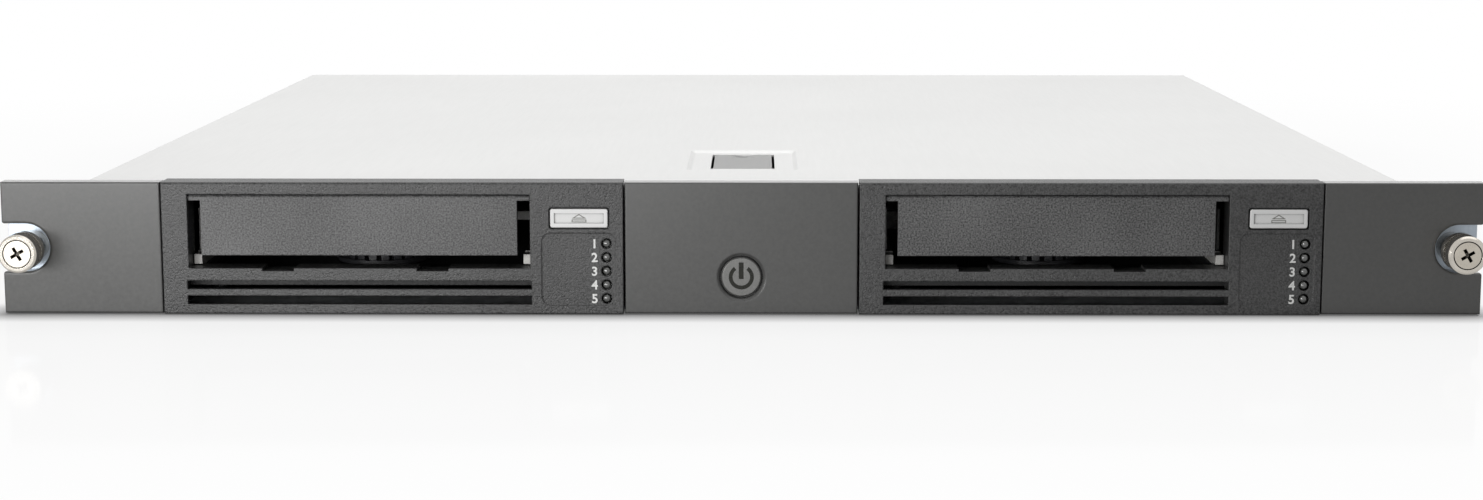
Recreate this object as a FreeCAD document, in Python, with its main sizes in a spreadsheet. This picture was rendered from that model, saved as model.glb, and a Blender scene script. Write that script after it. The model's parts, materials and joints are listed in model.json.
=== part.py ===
import FreeCAD, Part
import os
import re
import Sketcher

# Driving dimensions, in millimetres, with the front towards -Y and Z up
dimensions = {
    # rack panel and the row of front pieces
    "front_y": -218.0, "rear_y": 228.0, "panel_width": 482.6, "panel_base": 0.2, "panel_top": 43.4,
    "ear_width": 52.0, "centre_width": 76.0, "bezel_width": 150.3, "seam": 0.5, "fascia_depth": 6.0,
    "fascia_wall": 1.6, "fascia_edge": 0.5,
    # rack fixing, two captive screws on the standard hole spacing
    "hole_spacing": 465.1, "screw_z": 21.8, "notch_r": 7.9, "notch_shift": 1.2, "notch_solid": 19.0,
    "notch_lip": 0.8, "flange_gauge": 2.0, "flange_margin": 0.5, "flange_inner": 191.0, "ear_leg": 70.0,
    "leg_base": 3.0, "leg_top": 28.0, "knob_reach": 14.0, "knob_r": 6.2, "knurl_r": 5.95,
    "knob_back": 4.0, "knob_wall": 3.0, "knob_bore": 5.25, "knob_edge": 0.6, "knurl_end": 7.6,
    "head_r": 4.3, "head_seat": 1.6, "head_gap": 0.35, "cross_span": 4.7, "cross_slot": 1.05,
    "cross_deep": 1.4, "cross_turn": 30.0, "shank_r": 2.0, "stud_r": 3.0, "stud_start": 0.0,
    "stud_reach": 6.0, "guide_r": 2.4, "stud_clear": 0.3, "ferrule_r": 4.9, "ferrule_front": 4.6,
    "ferrule_room": 4.2, "ferrule_seat": 3.0, "ferrule_bore": 3.08, "ferrule_spigot": 4.5,
    "retainer_r": 4.0, "retainer_gauge": 0.8, "running_fit": 0.08,
    # sheet metal housing
    "gauge": 1.0, "cover_width": 436.0, "cover_top": 41.4, "cover_lip": 12.0, "cover_gap": 0.25,
    "cover_front": 10.3, "rear_lip": 5.0, "tray_front": 10.2, "rear_panel_top": 40.2, "rear_tab": 15.0,
    "tray_vent": 3.0, "tray_vent_low": 8.0, "tray_vent_high": 22.0, "tray_vent_y": 112.0,
    "tray_vent_pitch": 9.0, "tray_vent_count": 9.0,
    # stamped pan and latch in the cover
    "pan_front": 51.0, "pan_length": 60.0, "pan_width": 38.5, "pan_depth": 0.9, "pan_floor": 35.5,
    "pan_ramp_front": 1.5, "pan_ramp_rear": 1.5, "pan_corner": 4.0, "window_width": 22.4,
    "window_length": 42.8, "window_front": 62.2, "latch_side_gap": 0.9, "latch_end_gap": 0.25,
    "latch_front_gap": 1.2, "latch_drop": 0.1, "latch_base": 1.0, "latch_overlap": 0.6, "scoop_r": 11.0,
    "scoop_deep": 0.8, "scoop_length": 9.0, "strap_width": 14.0, "strap_drop": 7.8, "strap_gauge": 1.0,
    "plunger_r": 2.6, "plunger_fit": 0.4, "plunger_length": 8.2, "leaf_gauge": 0.35, "leaf_width": 9.0,
    "leaf_span": 30.0, "leaf_flat": 4.0,
    # power button in the centre fascia
    "power_z": 12.3, "power_hole_r": 7.1, "power_bevel": 0.9, "power_r": 6.65, "power_inset": 0.4,
    "power_disc": 1.5, "power_flange_r": 7.9, "power_flange": 1.0, "power_stem_r": 2.6,
    "power_stem_end": 5.0, "power_edge": 0.5, "lens_width": 1.5, "lens_height": 5.4, "lens_rise": 2.05,
    "lens_deep": 0.7, "rail_gauge": 1.5, "rail_foot": 34.0, "rail_top": 38.0, "rail_half": 37.0,
    "rail_hole_r": 5.2, "board_gauge": 1.6, "switch_board_y": 10.0, "switch_half": 3.0,
    "switch_front": 6.6, "switch_board_half": 15.0, "switch_board_low": 4.0, "switch_board_high": 27.0,
    "standoff_r": 1.6, "standoff_inset": 3.0,
    # rear bay
    "supply_left": -206.0, "supply_width": 110.0, "supply_length": 156.0, "supply_height": 37.0,
    "supply_slot": 3.0, "supply_slot_length": 60.0, "supply_slot_pitch": 8.0, "supply_slot_count": 12.0,
    "supply_slot_y": 20.0, "inlet_x": -150.0, "inlet_z": 19.0, "inlet_width": 27.0, "inlet_height": 20.0,
    "inlet_flange_w": 33.0, "inlet_flange_h": 26.0, "inlet_flange": 2.5, "inlet_length": 22.0,
    "inlet_wall": 1.8, "inlet_floor": 3.0, "inlet_pin_w": 2.0, "inlet_pin_h": 4.0, "inlet_pin_back": 5.2,
    "inlet_pin_pitch": 7.0, "inlet_pin_drop": 2.0, "inlet_pin_rise": 2.4, "inlet_corner": 4.0,
    "fan_x": 56.0, "fan_size": 38.0, "fan_depth": 20.0, "fan_bore_r": 17.6, "fan_hub_r": 8.0,
    "fan_tip_r": 16.8, "fan_strut": 2.2, "fan_plate": 2.4, "fan_shaft_r": 1.5, "fan_blade_gauge": 1.0,
    "fan_blade_chord": 12.0, "fan_blade_pitch": 38.0, "fan_hub_length": 14.0, "fan_axle_gap": 0.6,
    "fan_blade_count": 5.0, "grille_r": 17.0, "grille_ring_r": 9.5, "grille_bar": 1.6, "port_x": 120.0,
    "port_pitch": 56.0, "port_z": 18.0, "port_width": 27.0, "port_height": 11.0, "port_length": 24.0,
    "port_reach": 4.0, "port_wall": 1.2, "port_deep": 15.0, "port_tongue": 1.6, "port_tongue_w": 18.0,
    "port_tongue_back": 6.0, "port_foot": 6.0, "bolt_head_r": 2.8, "bolt_head": 1.6, "bolt_r": 1.45,
    "bolt_hole_r": 1.5, "bolt_length": 6.0, "bolt_z": 15.0, "bolt_front_y": 25.0, "bolt_pitch": 30.0,
    "bolt_rear_back": 8.0,
    # drive bezel, measured from its lower left corner
    "bezel_base": 0.1, "bezel_height": 43.4, "bezel_proud": 0.8, "bezel_depth": 10.0, "bezel_wall": 2.4,
    "bezel_round": 0.9, "bezel_edge": 0.4, "slot_left": 8.4, "slot_right": 120.0, "slot_low": 15.1,
    "slot_high": 39.4, "nick_a": 32.4, "nick_b": 82.9, "nick_width": 10.3, "nick_deep": 0.9,
    "vent_left": 7.8, "vent_right": 120.4, "vent_low": 3.2, "vent_rise": 2.85, "vent_pitch": 5.0,
    "eject_left": 126.6, "eject_low": 28.6, "eject_width": 18.8, "eject_height": 6.2, "eject_gap": 0.45,
    "eject_play": 0.3, "eject_corner": 0.8, "eject_proud": 0.25, "eject_panel_w": 16.2,
    "eject_panel_h": 3.3, "eject_panel_deep": 0.5, "eject_flange": 0.9, "eject_stem_r": 1.5,
    "eject_stem_end": 6.0, "lamp_x": 144.9, "lamp_low": 5.2, "lamp_pitch": 4.53, "lamp_count": 5.0,
    "lamp_hole_r": 1.75, "lamp_r": 1.25, "lamp_inset": 0.2, "lamp_round": 0.55, "lamp_bar_half": 1.6,
    "lamp_bar_y": 6.2, "field_left": 123.7, "field_low": 2.9, "field_width": 24.2, "field_height": 23.9,
    "field_deep": 0.3, "field_corner": 3.0, "pocket_left": 122.2, "pocket_right": 146.9,
    "pocket_low": 2.0, "pocket_high": 41.2, "duct_left": 6.0, "duct_right": 120.8, "duct_high": 12.6,
    # cartridge door
    "door_left": 12.5, "door_right": 115.7, "door_low": 19.3, "door_high": 39.1, "door_gauge": 2.0,
    "door_inset": 1.0, "strip_left": 8.7, "strip_right": 119.7, "strip_low": 37.4, "door_round": 0.9,
    "door_edge": 0.3, "hinge_z": 38.1, "pin_r": 0.8, "pin_hole_r": 0.88, "pin_reach": 1.4,
    "pin_hole_reach": 1.6, "door_leaf_w": 8.0, "door_leaf_gauge": 0.25, "door_leaf_back": 16.0,
    "door_leaf_tip": 37.2,
    # drive body behind the bezel
    "drive_inset": 2.15, "drive_width": 146.0, "drive_length": 205.0, "drive_wall": 1.5, "wall_top": 39.3,
    "deck_low": 8.0, "deck_gauge": 1.6, "ledge_left": 11.6, "ledge_right": 116.8, "ledge_low": 13.0,
    "ledge_top": 15.0, "ledge_end": 128.0, "cage_right": 124.0, "lid_base": 39.5, "lid_top": 40.2,
    "lid_gauge": 0.7, "lid_flange_low": 26.0, "lid_side_gap": 0.05, "lid_panel_deep": 0.3,
    "lid_panel_side": 18.0, "lid_panel_front": 24.0, "lid_panel_rear": 62.0, "lid_panel_corner": 8.0,
    "bay_centre": 64.2, "hub_y": 55.0, "hub_r": 16.0, "hub_low": 10.0, "hub_disc": 1.4, "hub_top": 13.6,
    "tooth_in": 10.5, "tooth_out": 14.0, "tooth_count": 20.0, "tooth_gap": 1.7, "hub_pin_r": 2.6,
    "hub_shaft_r": 4.0, "hub_shaft_low": 6.6, "hub_hole_r": 4.08, "reel_x": 74.0, "reel_y": 165.0,
    "reel_r": 38.0, "reel_hub_r": 19.0, "reel_low": 17.0, "reel_high": 33.0, "reel_flange": 1.3,
    "post_r": 3.0, "post_top": 34.0, "post_boss_r": 7.0, "head_x": 13.0, "head_y": 129.0, "head_w": 24.0,
    "head_d": 9.0, "head_top": 31.0, "head_round": 3.0, "rail_left": 8.75, "rail_right": 117.15,
    "rail_w": 2.6, "rail_low": 15.05, "rail_high": 19.2, "rail_front": 12.0, "rail_rear": 112.0,
    "wing_gauge": 0.9, "wing_high": 33.0, "nose_front": 6.2, "nose_low": 15.6, "nose_high": 18.8,
    "bridge_back": 108.0, "bridge_low": 16.0, "mother_low": 3.4, "mother_left": 8.0,
    "mother_right": 142.0, "mother_front": 20.0, "mother_rear": 200.0, "mother_boss_r": 2.5,
    "mother_inset": 5.0, "chip_size": 22.0, "chip_high": 1.8, "chip_x": 60.0, "chip_y": 120.0,
    "host_left": 92.0, "host_width": 46.0, "host_low": 3.0, "host_height": 9.0, "host_depth": 12.0,
    "host_slot": 2.6, "host_slot_deep": 6.0, "host_slot_inset": 5.0, "panel_board_y": 8.0,
    "tact_half": 2.2, "tact_high": 0.8, "board_margin": 0.4,
}

document = FreeCAD.newDocument("rack_tape_drive")
sheet = document.addObject("Spreadsheet::Sheet", "dims")
for row, (alias, size) in enumerate(dimensions.items(), 1):
    sheet.set(f"A{row}", alias)
    sheet.set(f"B{row}", str(size))
    sheet.setAlias(f"B{row}", alias)
document.recompute()

alias_pattern = re.compile(r"\b(" + "|".join(dimensions) + r")\b")
nodes = {}
# Where a sketch point starts before its formula moves it, and how close two sizes count as equal
rough = 10.0
tolerance = 1e-4


# Formula text with every dimension name pointed at the sheet
def linked(formula):
    return alias_pattern.sub(r"dims.\1", formula)


def bind(item, prop, formula):
    item.setExpression(prop, linked(formula))


def place(item, x, y, z):
    for axis, formula in (("x", x), ("y", y), ("z", z)):
        bind(item, f"Placement.Base.{axis}", formula)


def publish(label, item):
    item.Label = label
    nodes[label] = item
    return item


# Solid primitives, each given as formula ranges or as a radius on an axis
def block(name, x, y, z):
    item = document.addObject("Part::Box", name)
    for prop, (low, high) in (("Length", x), ("Width", y), ("Height", z)):
        bind(item, prop, f"({high}) - ({low})")
    place(item, x[0], y[0], z[0])
    return item


turns = {
    "x": FreeCAD.Rotation(FreeCAD.Vector(0, 1, 0), 90),
    "y": FreeCAD.Rotation(FreeCAD.Vector(1, 0, 0), -90),
    "z": FreeCAD.Rotation(),
}


def rod(name, radius, start, length, axis):
    item = document.addObject("Part::Cylinder", name)
    item.Placement = FreeCAD.Placement(FreeCAD.Vector(), turns[axis])
    bind(item, "Radius", radius)
    bind(item, "Height", length)
    place(item, *start)
    return item


def fuse(name, *pieces):
    item = document.addObject("Part::MultiFuse", name)
    item.Shapes = list(pieces)
    return item


def cut(name, base, *tools):
    tool = tools[0] if len(tools) == 1 else fuse(f"{name}_tools", *tools)
    item = document.addObject("Part::Cut", name)
    item.Base = base
    item.Tool = tool
    return item


# Bodies, sketches and the features drawn from them
def start_body(name, x, y, z):
    body = document.addObject("PartDesign::Body", name)
    place(body, x, y, z)
    return body


def sketch_on(body, name, plane, offset="0"):
    sketch = body.newObject("Sketcher::SketchObject", name)
    support = [face for face in body.Origin.OriginFeatures if face.Role == f"{plane}_Plane"][0]
    sketch.AttachmentSupport = [(support, "")]
    sketch.MapMode = "FlatFace"
    bind(sketch, "AttachmentOffset.Base.z", offset)
    return sketch


def outline(sketch, corners):
    first = sketch.GeometryCount
    count = len(corners)
    guesses = []
    for step in range(count):
        turn = FreeCAD.Rotation(FreeCAD.Vector(0, 0, 1), 360.0 * step / count)
        guesses.append(turn.multVec(FreeCAD.Vector(rough, 0, 0)))
    edges = [Part.LineSegment(guesses[step], guesses[(step + 1) % count]) for step in range(count)]
    sketch.addGeometry(edges, False)
    joined = []
    for step in range(count):
        joined.append(Sketcher.Constraint("Coincident", first + step, 2, first + (step + 1) % count, 1))
    sketch.addConstraint(joined)
    for step, (across, up) in enumerate(corners):
        guess = guesses[step]
        for kind, start, formula in (("DistanceX", guess.x, across), ("DistanceY", guess.y, up)):
            index = sketch.addConstraint(Sketcher.Constraint(kind, -1, 1, first + step, 1, start))
            bind(sketch, f"Constraints[{index}]", formula)


def rectangle(sketch, left, low, right, high):
    outline(sketch, [(left, low), (right, low), (right, high), (left, high)])


def circle(sketch, across, up, radius):
    ring = Part.Circle(FreeCAD.Vector(rough, rough, 0), FreeCAD.Vector(0, 0, 1), rough)
    index = sketch.addGeometry(ring, False)
    for kind, formula in (("DistanceX", across), ("DistanceY", up)):
        at = sketch.addConstraint(Sketcher.Constraint(kind, -1, 1, index, 3, rough))
        bind(sketch, f"Constraints[{at}]", formula)
    at = sketch.addConstraint(Sketcher.Constraint("Radius", index, rough))
    bind(sketch, f"Constraints[{at}]", radius)


def pad(body, name, sketch, length, backwards=False, both=False):
    feature = body.newObject("PartDesign::Pad", name)
    feature.Profile = sketch
    bind(feature, "Length", length)
    feature.Reversed = backwards
    feature.SideType = "Symmetric" if both else "One side"
    document.recompute()
    return feature


def pocket(body, name, sketch, length=None, backwards=False):
    before = body.Shape.Volume
    feature = body.newObject("PartDesign::Pocket", name)
    feature.Profile = sketch
    feature.Reversed = backwards
    if length is None:
        feature.Type = "ThroughAll"
    else:
        bind(feature, "Length", length)
    document.recompute()
    if body.Shape.Volume >= before:
        raise RuntimeError(f"{name} removed nothing")
    return feature


def revolve(body, name, sketch, axis):
    feature = body.newObject("PartDesign::Revolution", name)
    feature.Profile = sketch
    feature.ReferenceAxis = (sketch, [axis])
    feature.Angle = 360.0
    document.recompute()
    return feature


# Edge treatments on the edges that a test picks out
def dressed(body, kind, name, size, wanted):
    base = body.Tip
    picked = [f"Edge{i}" for i, edge in enumerate(base.Shape.Edges, 1) if wanted(edge)]
    feature = body.newObject(f"PartDesign::{kind}", name)
    feature.Base = (base, picked)
    bind(feature, "Radius" if kind == "Fillet" else "Size", size)
    document.recompute()
    return feature


def value(alias):
    return float(sheet.get(alias))


def near(one, other):
    return abs(one - other) < tolerance


def runs_along(edge, axis):
    if edge.Curve.TypeId != "Part::GeomLine":
        return False
    return near(abs(getattr(edge.Curve.Direction, axis)), 1.0)


# Ear fascia, mirrored by the side it closes: the U notch is open at its outer end
def ear_fascia(side, outward):
    left = "-panel_width / 2" if outward < 0 else "panel_width / 2 - ear_width"
    body = start_body(f"{side}_ear_fascia", left, "front_y", "panel_base")
    tall = "panel_top - panel_base"
    inset = "(panel_width - hole_spacing) / 2"
    axis = f"({inset} - notch_shift)" if outward < 0 else f"(ear_width - {inset} + notch_shift)"
    front = sketch_on(body, f"{side}_fascia_outline", "XZ")
    rectangle(front, "0", "0", "ear_width", tall)
    pad(body, f"{side}_fascia_plate", front, "fascia_depth", True)
    dressed(body, "Fillet", f"{side}_fascia_edges", "fascia_edge", lambda edge: near(edge.BoundBox.YMax, 0.0))
    hollow = sketch_on(body, f"{side}_fascia_back", "XZ", "-fascia_depth")
    ends = ("notch_solid", "ear_width - fascia_wall")
    if outward > 0:
        ends = ("fascia_wall", "ear_width - notch_solid")
    rectangle(hollow, ends[0], "fascia_wall", ends[1], f"{tall} - fascia_wall")
    pocket(body, f"{side}_fascia_hollow", hollow, "fascia_depth - fascia_wall", True)
    ring = sketch_on(body, f"{side}_notch_round", "XZ", "fascia_depth")
    circle(ring, axis, "screw_z - panel_base", "notch_r")
    pocket(body, f"{side}_notch_end", ring)
    mouth = sketch_on(body, f"{side}_notch_mouth", "XZ", "fascia_depth")
    edges = ("-notch_r", axis) if outward < 0 else (axis, "ear_width + notch_r")
    rectangle(mouth, edges[0], "screw_z - panel_base - notch_r", edges[1], "screw_z - panel_base + notch_r")
    pocket(body, f"{side}_notch_open", mouth)
    end = 0.0 if outward < 0 else value("ear_width")
    mid = value("screw_z") - value("panel_base")
    radius = value("notch_r")
    dressed(body, "Fillet", f"{side}_notch_lips", "notch_lip", lambda edge: (
        runs_along(edge, "y") and near(edge.BoundBox.XMin, end)
        and near(abs(edge.BoundBox.ZMin - mid), radius)))
    return publish(f"{side}_ear_fascia", body)


# Zinc rack ear: a flange behind the fascia and a leg along the chassis wall
def rack_ear(side, outward):
    sign = "-" if outward < 0 else ""
    wall = "(cover_width / 2 - gauge - cover_gap)"
    spans = {
        "flange": ("panel_width / 2 - flange_margin", "flange_inner"),
        "leg": (f"{wall} + flange_gauge", wall),
    }
    ranges = {}
    for key, (far, close) in spans.items():
        ranges[key] = (f"-({far})", f"-({close})") if outward < 0 else (close, far)
    flange = block(f"{side}_flange", ranges["flange"], (
        "front_y + fascia_depth", "front_y + fascia_depth + flange_gauge"), (
        "panel_base + flange_margin", "panel_top - flange_margin"))
    leg = block(f"{side}_leg", ranges["leg"], ("front_y + fascia_depth", "front_y + ear_leg"), (
        "leg_base", "leg_top"))
    hole = rod(f"{side}_flange_hole", "ferrule_spigot", (
        f"{sign}hole_spacing / 2", "front_y", "screw_z"), "fascia_depth + flange_gauge * 2", "y")
    tools = [hole]
    start = f"-({wall} + flange_gauge * 2)" if outward < 0 else f"{wall} - flange_gauge"
    for number, along in (("one", "bolt_front_y"), ("two", "bolt_front_y + bolt_pitch")):
        tools.append(rod(f"{side}_leg_hole_{number}", "bolt_hole_r", (
            start, f"front_y + {along}", "bolt_z"), "flange_gauge * 3", "x"))
    return publish(f"{side}_rack_ear", cut(f"{side}_ear", fuse(f"{side}_ear_stock", flange, leg), *tools))


# Captive thumbscrew pieces, each turned about the screw axis
def turned(label, side_sign, profile):
    body = start_body(label, f"{side_sign}hole_spacing / 2", "front_y", "screw_z")
    sketch = sketch_on(body, f"{label}_profile", "YZ")
    outline(sketch, profile)
    revolve(body, f"{label}_turned", sketch, "H_Axis")
    return body


def thumbscrew(side, outward):
    sign = "-" if outward < 0 else ""
    turned_knob = turned(f"{side}_thumb_knob", sign, [
        ("-knob_reach", "head_r + head_gap"), ("-knob_reach", "knob_r - knob_edge"),
        ("-knob_reach + knob_edge", "knob_r"), ("-knob_reach + knob_edge * 2", "knob_r"),
        ("-knob_reach + knob_edge * 2", "knurl_r"), ("-knurl_end", "knurl_r"), ("-knurl_end", "knob_r"),
        ("-knob_back - knob_edge", "knob_r"), ("-knob_back", "knob_r - knob_edge"),
        ("-knob_back", "knob_bore"), ("-knob_reach + knob_wall", "knob_bore"),
        ("-knob_reach + knob_wall", "shank_r"),
        ("-knob_reach + head_seat", "shank_r"), ("-knob_reach + head_seat", "head_r + head_gap")])
    publish(f"{side}_thumb_knob", turned_knob)
    tip = "fascia_depth + flange_gauge + stud_reach"
    free = "fascia_depth + flange_gauge + stud_clear"
    screw = turned(f"{side}_captive_screw", sign, [
        ("-knob_reach", "0"), ("-knob_reach", "head_r"), ("-knob_reach + head_seat", "head_r"),
        ("-knob_reach + head_seat", "shank_r"), ("stud_start", "shank_r"), ("stud_start", "guide_r"),
        (free, "guide_r"), (free, "stud_r"), (f"{tip} - knob_edge", "stud_r"), (tip, "stud_r - knob_edge"),
        (tip, "0")])
    recess = sketch_on(screw, f"{side}_cross", "XZ", "knob_reach")
    bind(recess, "AttachmentOffset.Rotation.Angle", "cross_turn * 1 deg")
    half = "cross_span / 2"
    slot = "cross_slot / 2"
    outline(recess, [
        (half, f"-{slot}"), (half, slot), (slot, slot), (slot, half), (f"-{slot}", half), (f"-{slot}", slot),
        (f"-{half}", slot), (f"-{half}", f"-{slot}"), (f"-{slot}", f"-{slot}"), (f"-{slot}", f"-{half}"),
        (slot, f"-{half}"), (slot, f"-{slot}")])
    pocket(screw, f"{side}_cross_recess", recess, "cross_deep")
    publish(f"{side}_captive_screw", screw)
    ferrule = turned(f"{side}_screw_ferrule", sign, [
        ("-ferrule_front", "ferrule_room"), ("-ferrule_front", "ferrule_r"), ("fascia_depth", "ferrule_r"),
        ("fascia_depth", "ferrule_spigot"), ("fascia_depth + flange_gauge", "ferrule_spigot"),
        ("fascia_depth + flange_gauge", "ferrule_bore"), ("ferrule_seat", "ferrule_bore"),
        ("ferrule_seat", "ferrule_room")])
    publish(f"{side}_screw_ferrule", ferrule)
    retainer = turned(f"{side}_screw_retainer", sign, [
        ("-knob_reach + knob_wall", "shank_r + running_fit"), ("-knob_reach + knob_wall", "retainer_r"),
        ("-knob_reach + knob_wall + retainer_gauge", "retainer_r"),
        ("-knob_reach + knob_wall + retainer_gauge", "shank_r + running_fit")])
    publish(f"{side}_screw_retainer", retainer)


for side, outward in (("left", -1), ("right", 1)):
    ear_fascia(side, outward)
    rack_ear(side, outward)
    thumbscrew(side, outward)

# Folded chassis tray: floor and two side walls from one bent profile, vented behind the ears
tray = start_body("chassis_tray", "0", "front_y + tray_front", "0")
tray_half = "(cover_width / 2 - gauge - cover_gap)"
fold = sketch_on(tray, "tray_fold", "XZ")
outline(fold, [
    (f"-{tray_half}", "0"), (tray_half, "0"), (tray_half, "cover_top - gauge"),
    (f"{tray_half} - gauge", "cover_top - gauge"), (f"{tray_half} - gauge", "gauge"),
    (f"-{tray_half} + gauge", "gauge"), (f"-{tray_half} + gauge", "cover_top - gauge"),
    (f"-{tray_half}", "cover_top - gauge")])
pad(tray, "tray_sheet", fold, "rear_y - gauge - front_y - tray_front", True)
tray_holes = sketch_on(tray, "tray_bolt_holes", "YZ", f"-{tray_half} - gauge")
for along in ("bolt_front_y - tray_front", "bolt_front_y + bolt_pitch - tray_front",
              "rear_y - front_y - bolt_rear_back - tray_front"):
    circle(tray_holes, along, "bolt_z", "bolt_hole_r")
pocket(tray, "tray_bolts", tray_holes, None, True)
tray_slot = sketch_on(tray, "tray_slot", "YZ", f"-{tray_half} - gauge")
rectangle(tray_slot, "tray_vent_y", "tray_vent_low", "tray_vent_y + tray_vent", "tray_vent_high")
first_vent = pocket(tray, "tray_vent_one", tray_slot, None, True)
tray_row = tray.newObject("PartDesign::LinearPattern", "tray_vents")
tray_row.Originals = [first_vent]
tray_row.Direction = (tray_slot, ["H_Axis"])
bind(tray_row, "Length", "tray_vent_pitch * (tray_vent_count - 1)")
bind(tray_row, "Occurrences", "tray_vent_count")
tray.Tip = tray_row
document.recompute()
publish("chassis_tray", tray)


# Rear panel with its inlet, fan and port openings and two side tabs
def rear_panel():
    inner = f"{tray_half} - gauge"
    parts = [block("rear_sheet", (f"-{tray_half}", tray_half), ("rear_y - gauge", "rear_y"), (
        "0", "rear_panel_top"))]
    for side, sign in (("left", "-"), ("right", "")):
        low, high = (f"{inner} - gauge", inner)
        span = (f"-({high})", f"-({low})") if sign else (low, high)
        parts.append(block(f"{side}_rear_tab", span, ("rear_y - rear_tab", "rear_y - gauge / 2"), (
            "gauge * 3", "leg_top")))
    through = ("rear_y - gauge * 2", "rear_y + gauge")
    tools = [block("inlet_window", ("inlet_x - inlet_width / 2", "inlet_x + inlet_width / 2"), through, (
        "inlet_z - inlet_height / 2", "inlet_z + inlet_height / 2"))]
    for number in ("0", "1"):
        left = f"port_x - port_width / 2 + {number} * port_pitch"
        tools.append(block(f"port_window_{number}", (left, f"{left} + port_width"), through, (
            "port_z - port_height / 2", "port_z + port_height / 2")))
    for side, sign in (("left", "-"), ("right", "")):
        middle = f"{sign}fan_x"
        centre = (middle, through[0], "gauge + fan_size / 2")
        disc = rod(f"{side}_grille_disc", "grille_r", centre, "gauge * 3", "y")
        outer = rod(f"{side}_ring_out", "grille_ring_r", centre, "gauge * 3", "y")
        inner_ring = rod(f"{side}_ring_in", "grille_ring_r - grille_bar", centre, "gauge * 3", "y")
        ring = cut(f"{side}_grille_ring", outer, inner_ring)
        upright = block(f"{side}_grille_upright", (
            f"{middle} - grille_bar / 2", f"{middle} + grille_bar / 2"), through, (
            "gauge", "gauge + fan_size"))
        level = block(f"{side}_grille_level", (
            f"{middle} - fan_size / 2", f"{middle} + fan_size / 2"), through, (
            "gauge + fan_size / 2 - grille_bar / 2", "gauge + fan_size / 2 + grille_bar / 2"))
        tools.append(cut(f"{side}_grille", disc, ring, upright, level))
        start = f"-({tray_half} + gauge)" if sign else f"{tray_half} - gauge * 4"
        tools.append(rod(f"{side}_tab_hole", "bolt_hole_r", (start, "rear_y - bolt_rear_back", "bolt_z"), (
            "gauge * 5"), "x"))
    return publish("rear_panel", cut("rear_cut", fuse("rear_stock", *parts), *tools))


rear_panel()


# Pan-head screws of the ears and the rear panel, one group of separate solids
def chassis_screws():
    solids = []
    for side, sign in (("left", "-"), ("right", "")):
        for number, along, seat in (("one", "front_y + bolt_front_y", "flange_gauge"), (
                "two", "front_y + bolt_front_y + bolt_pitch", "flange_gauge"), (
                "three", "rear_y - bolt_rear_back", "0")):
            face = f"({tray_half} + {seat})"
            head_x = f"-{face} - bolt_head" if sign else face
            shank_x = f"-{face}" if sign else f"{face} - bolt_length"
            head = rod(f"{side}_bolt_head_{number}", "bolt_head_r", (
                head_x, along, "bolt_z"), "bolt_head", "x")
            shank = rod(f"{side}_bolt_shank_{number}", "bolt_r", (
                shank_x, along, "bolt_z"), "bolt_length", "x")
            solids.append(fuse(f"{side}_bolt_{number}", head, shank))
    group = document.addObject("Part::Compound", "screw_group")
    group.Links = solids
    return publish("chassis_screws", group)


chassis_screws()

# Centre fascia: hollow plate with a bevelled hole for the power button
centre = start_body("centre_fascia", "-centre_width / 2", "front_y", "panel_base")
centre_front = sketch_on(centre, "centre_outline", "XZ")
rectangle(centre_front, "0", "0", "centre_width", "panel_top - panel_base")
pad(centre, "centre_plate", centre_front, "fascia_depth", True)
dressed(centre, "Fillet", "centre_edges", "fascia_edge", lambda edge: near(edge.BoundBox.YMax, 0.0))
centre_back = sketch_on(centre, "centre_back", "XZ", "-fascia_depth")
rectangle(centre_back, "fascia_wall", "fascia_wall", "centre_width - fascia_wall",
          "panel_top - panel_base - fascia_wall")
pocket(centre, "centre_hollow", centre_back, "fascia_depth - fascia_wall", True)
centre_hole = sketch_on(centre, "power_hole", "XZ")
circle(centre_hole, "centre_width / 2", "power_z - panel_base", "power_hole_r")
pocket(centre, "power_opening", centre_hole)
dressed(centre, "Chamfer", "power_bevel_ring", "power_bevel", lambda edge: (
    edge.Curve.TypeId == "Part::GeomCircle" and near(edge.Curve.Radius, value("power_hole_r"))
    and near(edge.BoundBox.YMax, 0.0)))
publish("centre_fascia", centre)

# Cross rail behind the centre fascia, an angle that stands on the tray floor
rail = start_body("front_cross_rail", "0", "front_y + fascia_depth", "0")
angle = sketch_on(rail, "rail_angle", "YZ")
outline(angle, [
    ("0", "gauge"), ("rail_foot", "gauge"), ("rail_foot", "gauge + rail_gauge"),
    ("rail_gauge", "gauge + rail_gauge"), ("rail_gauge", "rail_top"), ("0", "rail_top")])
pad(rail, "rail_sheet", angle, "rail_half * 2", False, True)
rail_hole = sketch_on(rail, "rail_hole", "XZ", "rail_gauge")
circle(rail_hole, "0", "power_z", "rail_hole_r")
pocket(rail, "rail_opening", rail_hole, "rail_gauge * 3")
publish("front_cross_rail", rail)


# Switch board on four standoffs behind the rail
def power_switch_board():
    back = "front_y + switch_board_y"
    half = "switch_board_half"
    parts = [block("switch_laminate", (f"-{half}", half), (back, f"{back} + board_gauge"), (
        "switch_board_low", "switch_board_high"))]
    parts.append(block("switch_case", ("-switch_half", "switch_half"), ("front_y + switch_front", back), (
        "power_z - switch_half", "power_z + switch_half")))
    post = "front_y + fascia_depth + rail_gauge"
    for across in (f"-{half} + standoff_inset", f"{half} - standoff_inset"):
        for up in ("switch_board_low + standoff_inset", "switch_board_high - standoff_inset"):
            parts.append(rod(f"standoff_{len(parts)}", "standoff_r", (
                across, post, up), f"({back}) - ({post})", "y"))
    return publish("power_switch_board", fuse("switch_board", *parts))


power_switch_board()

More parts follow.
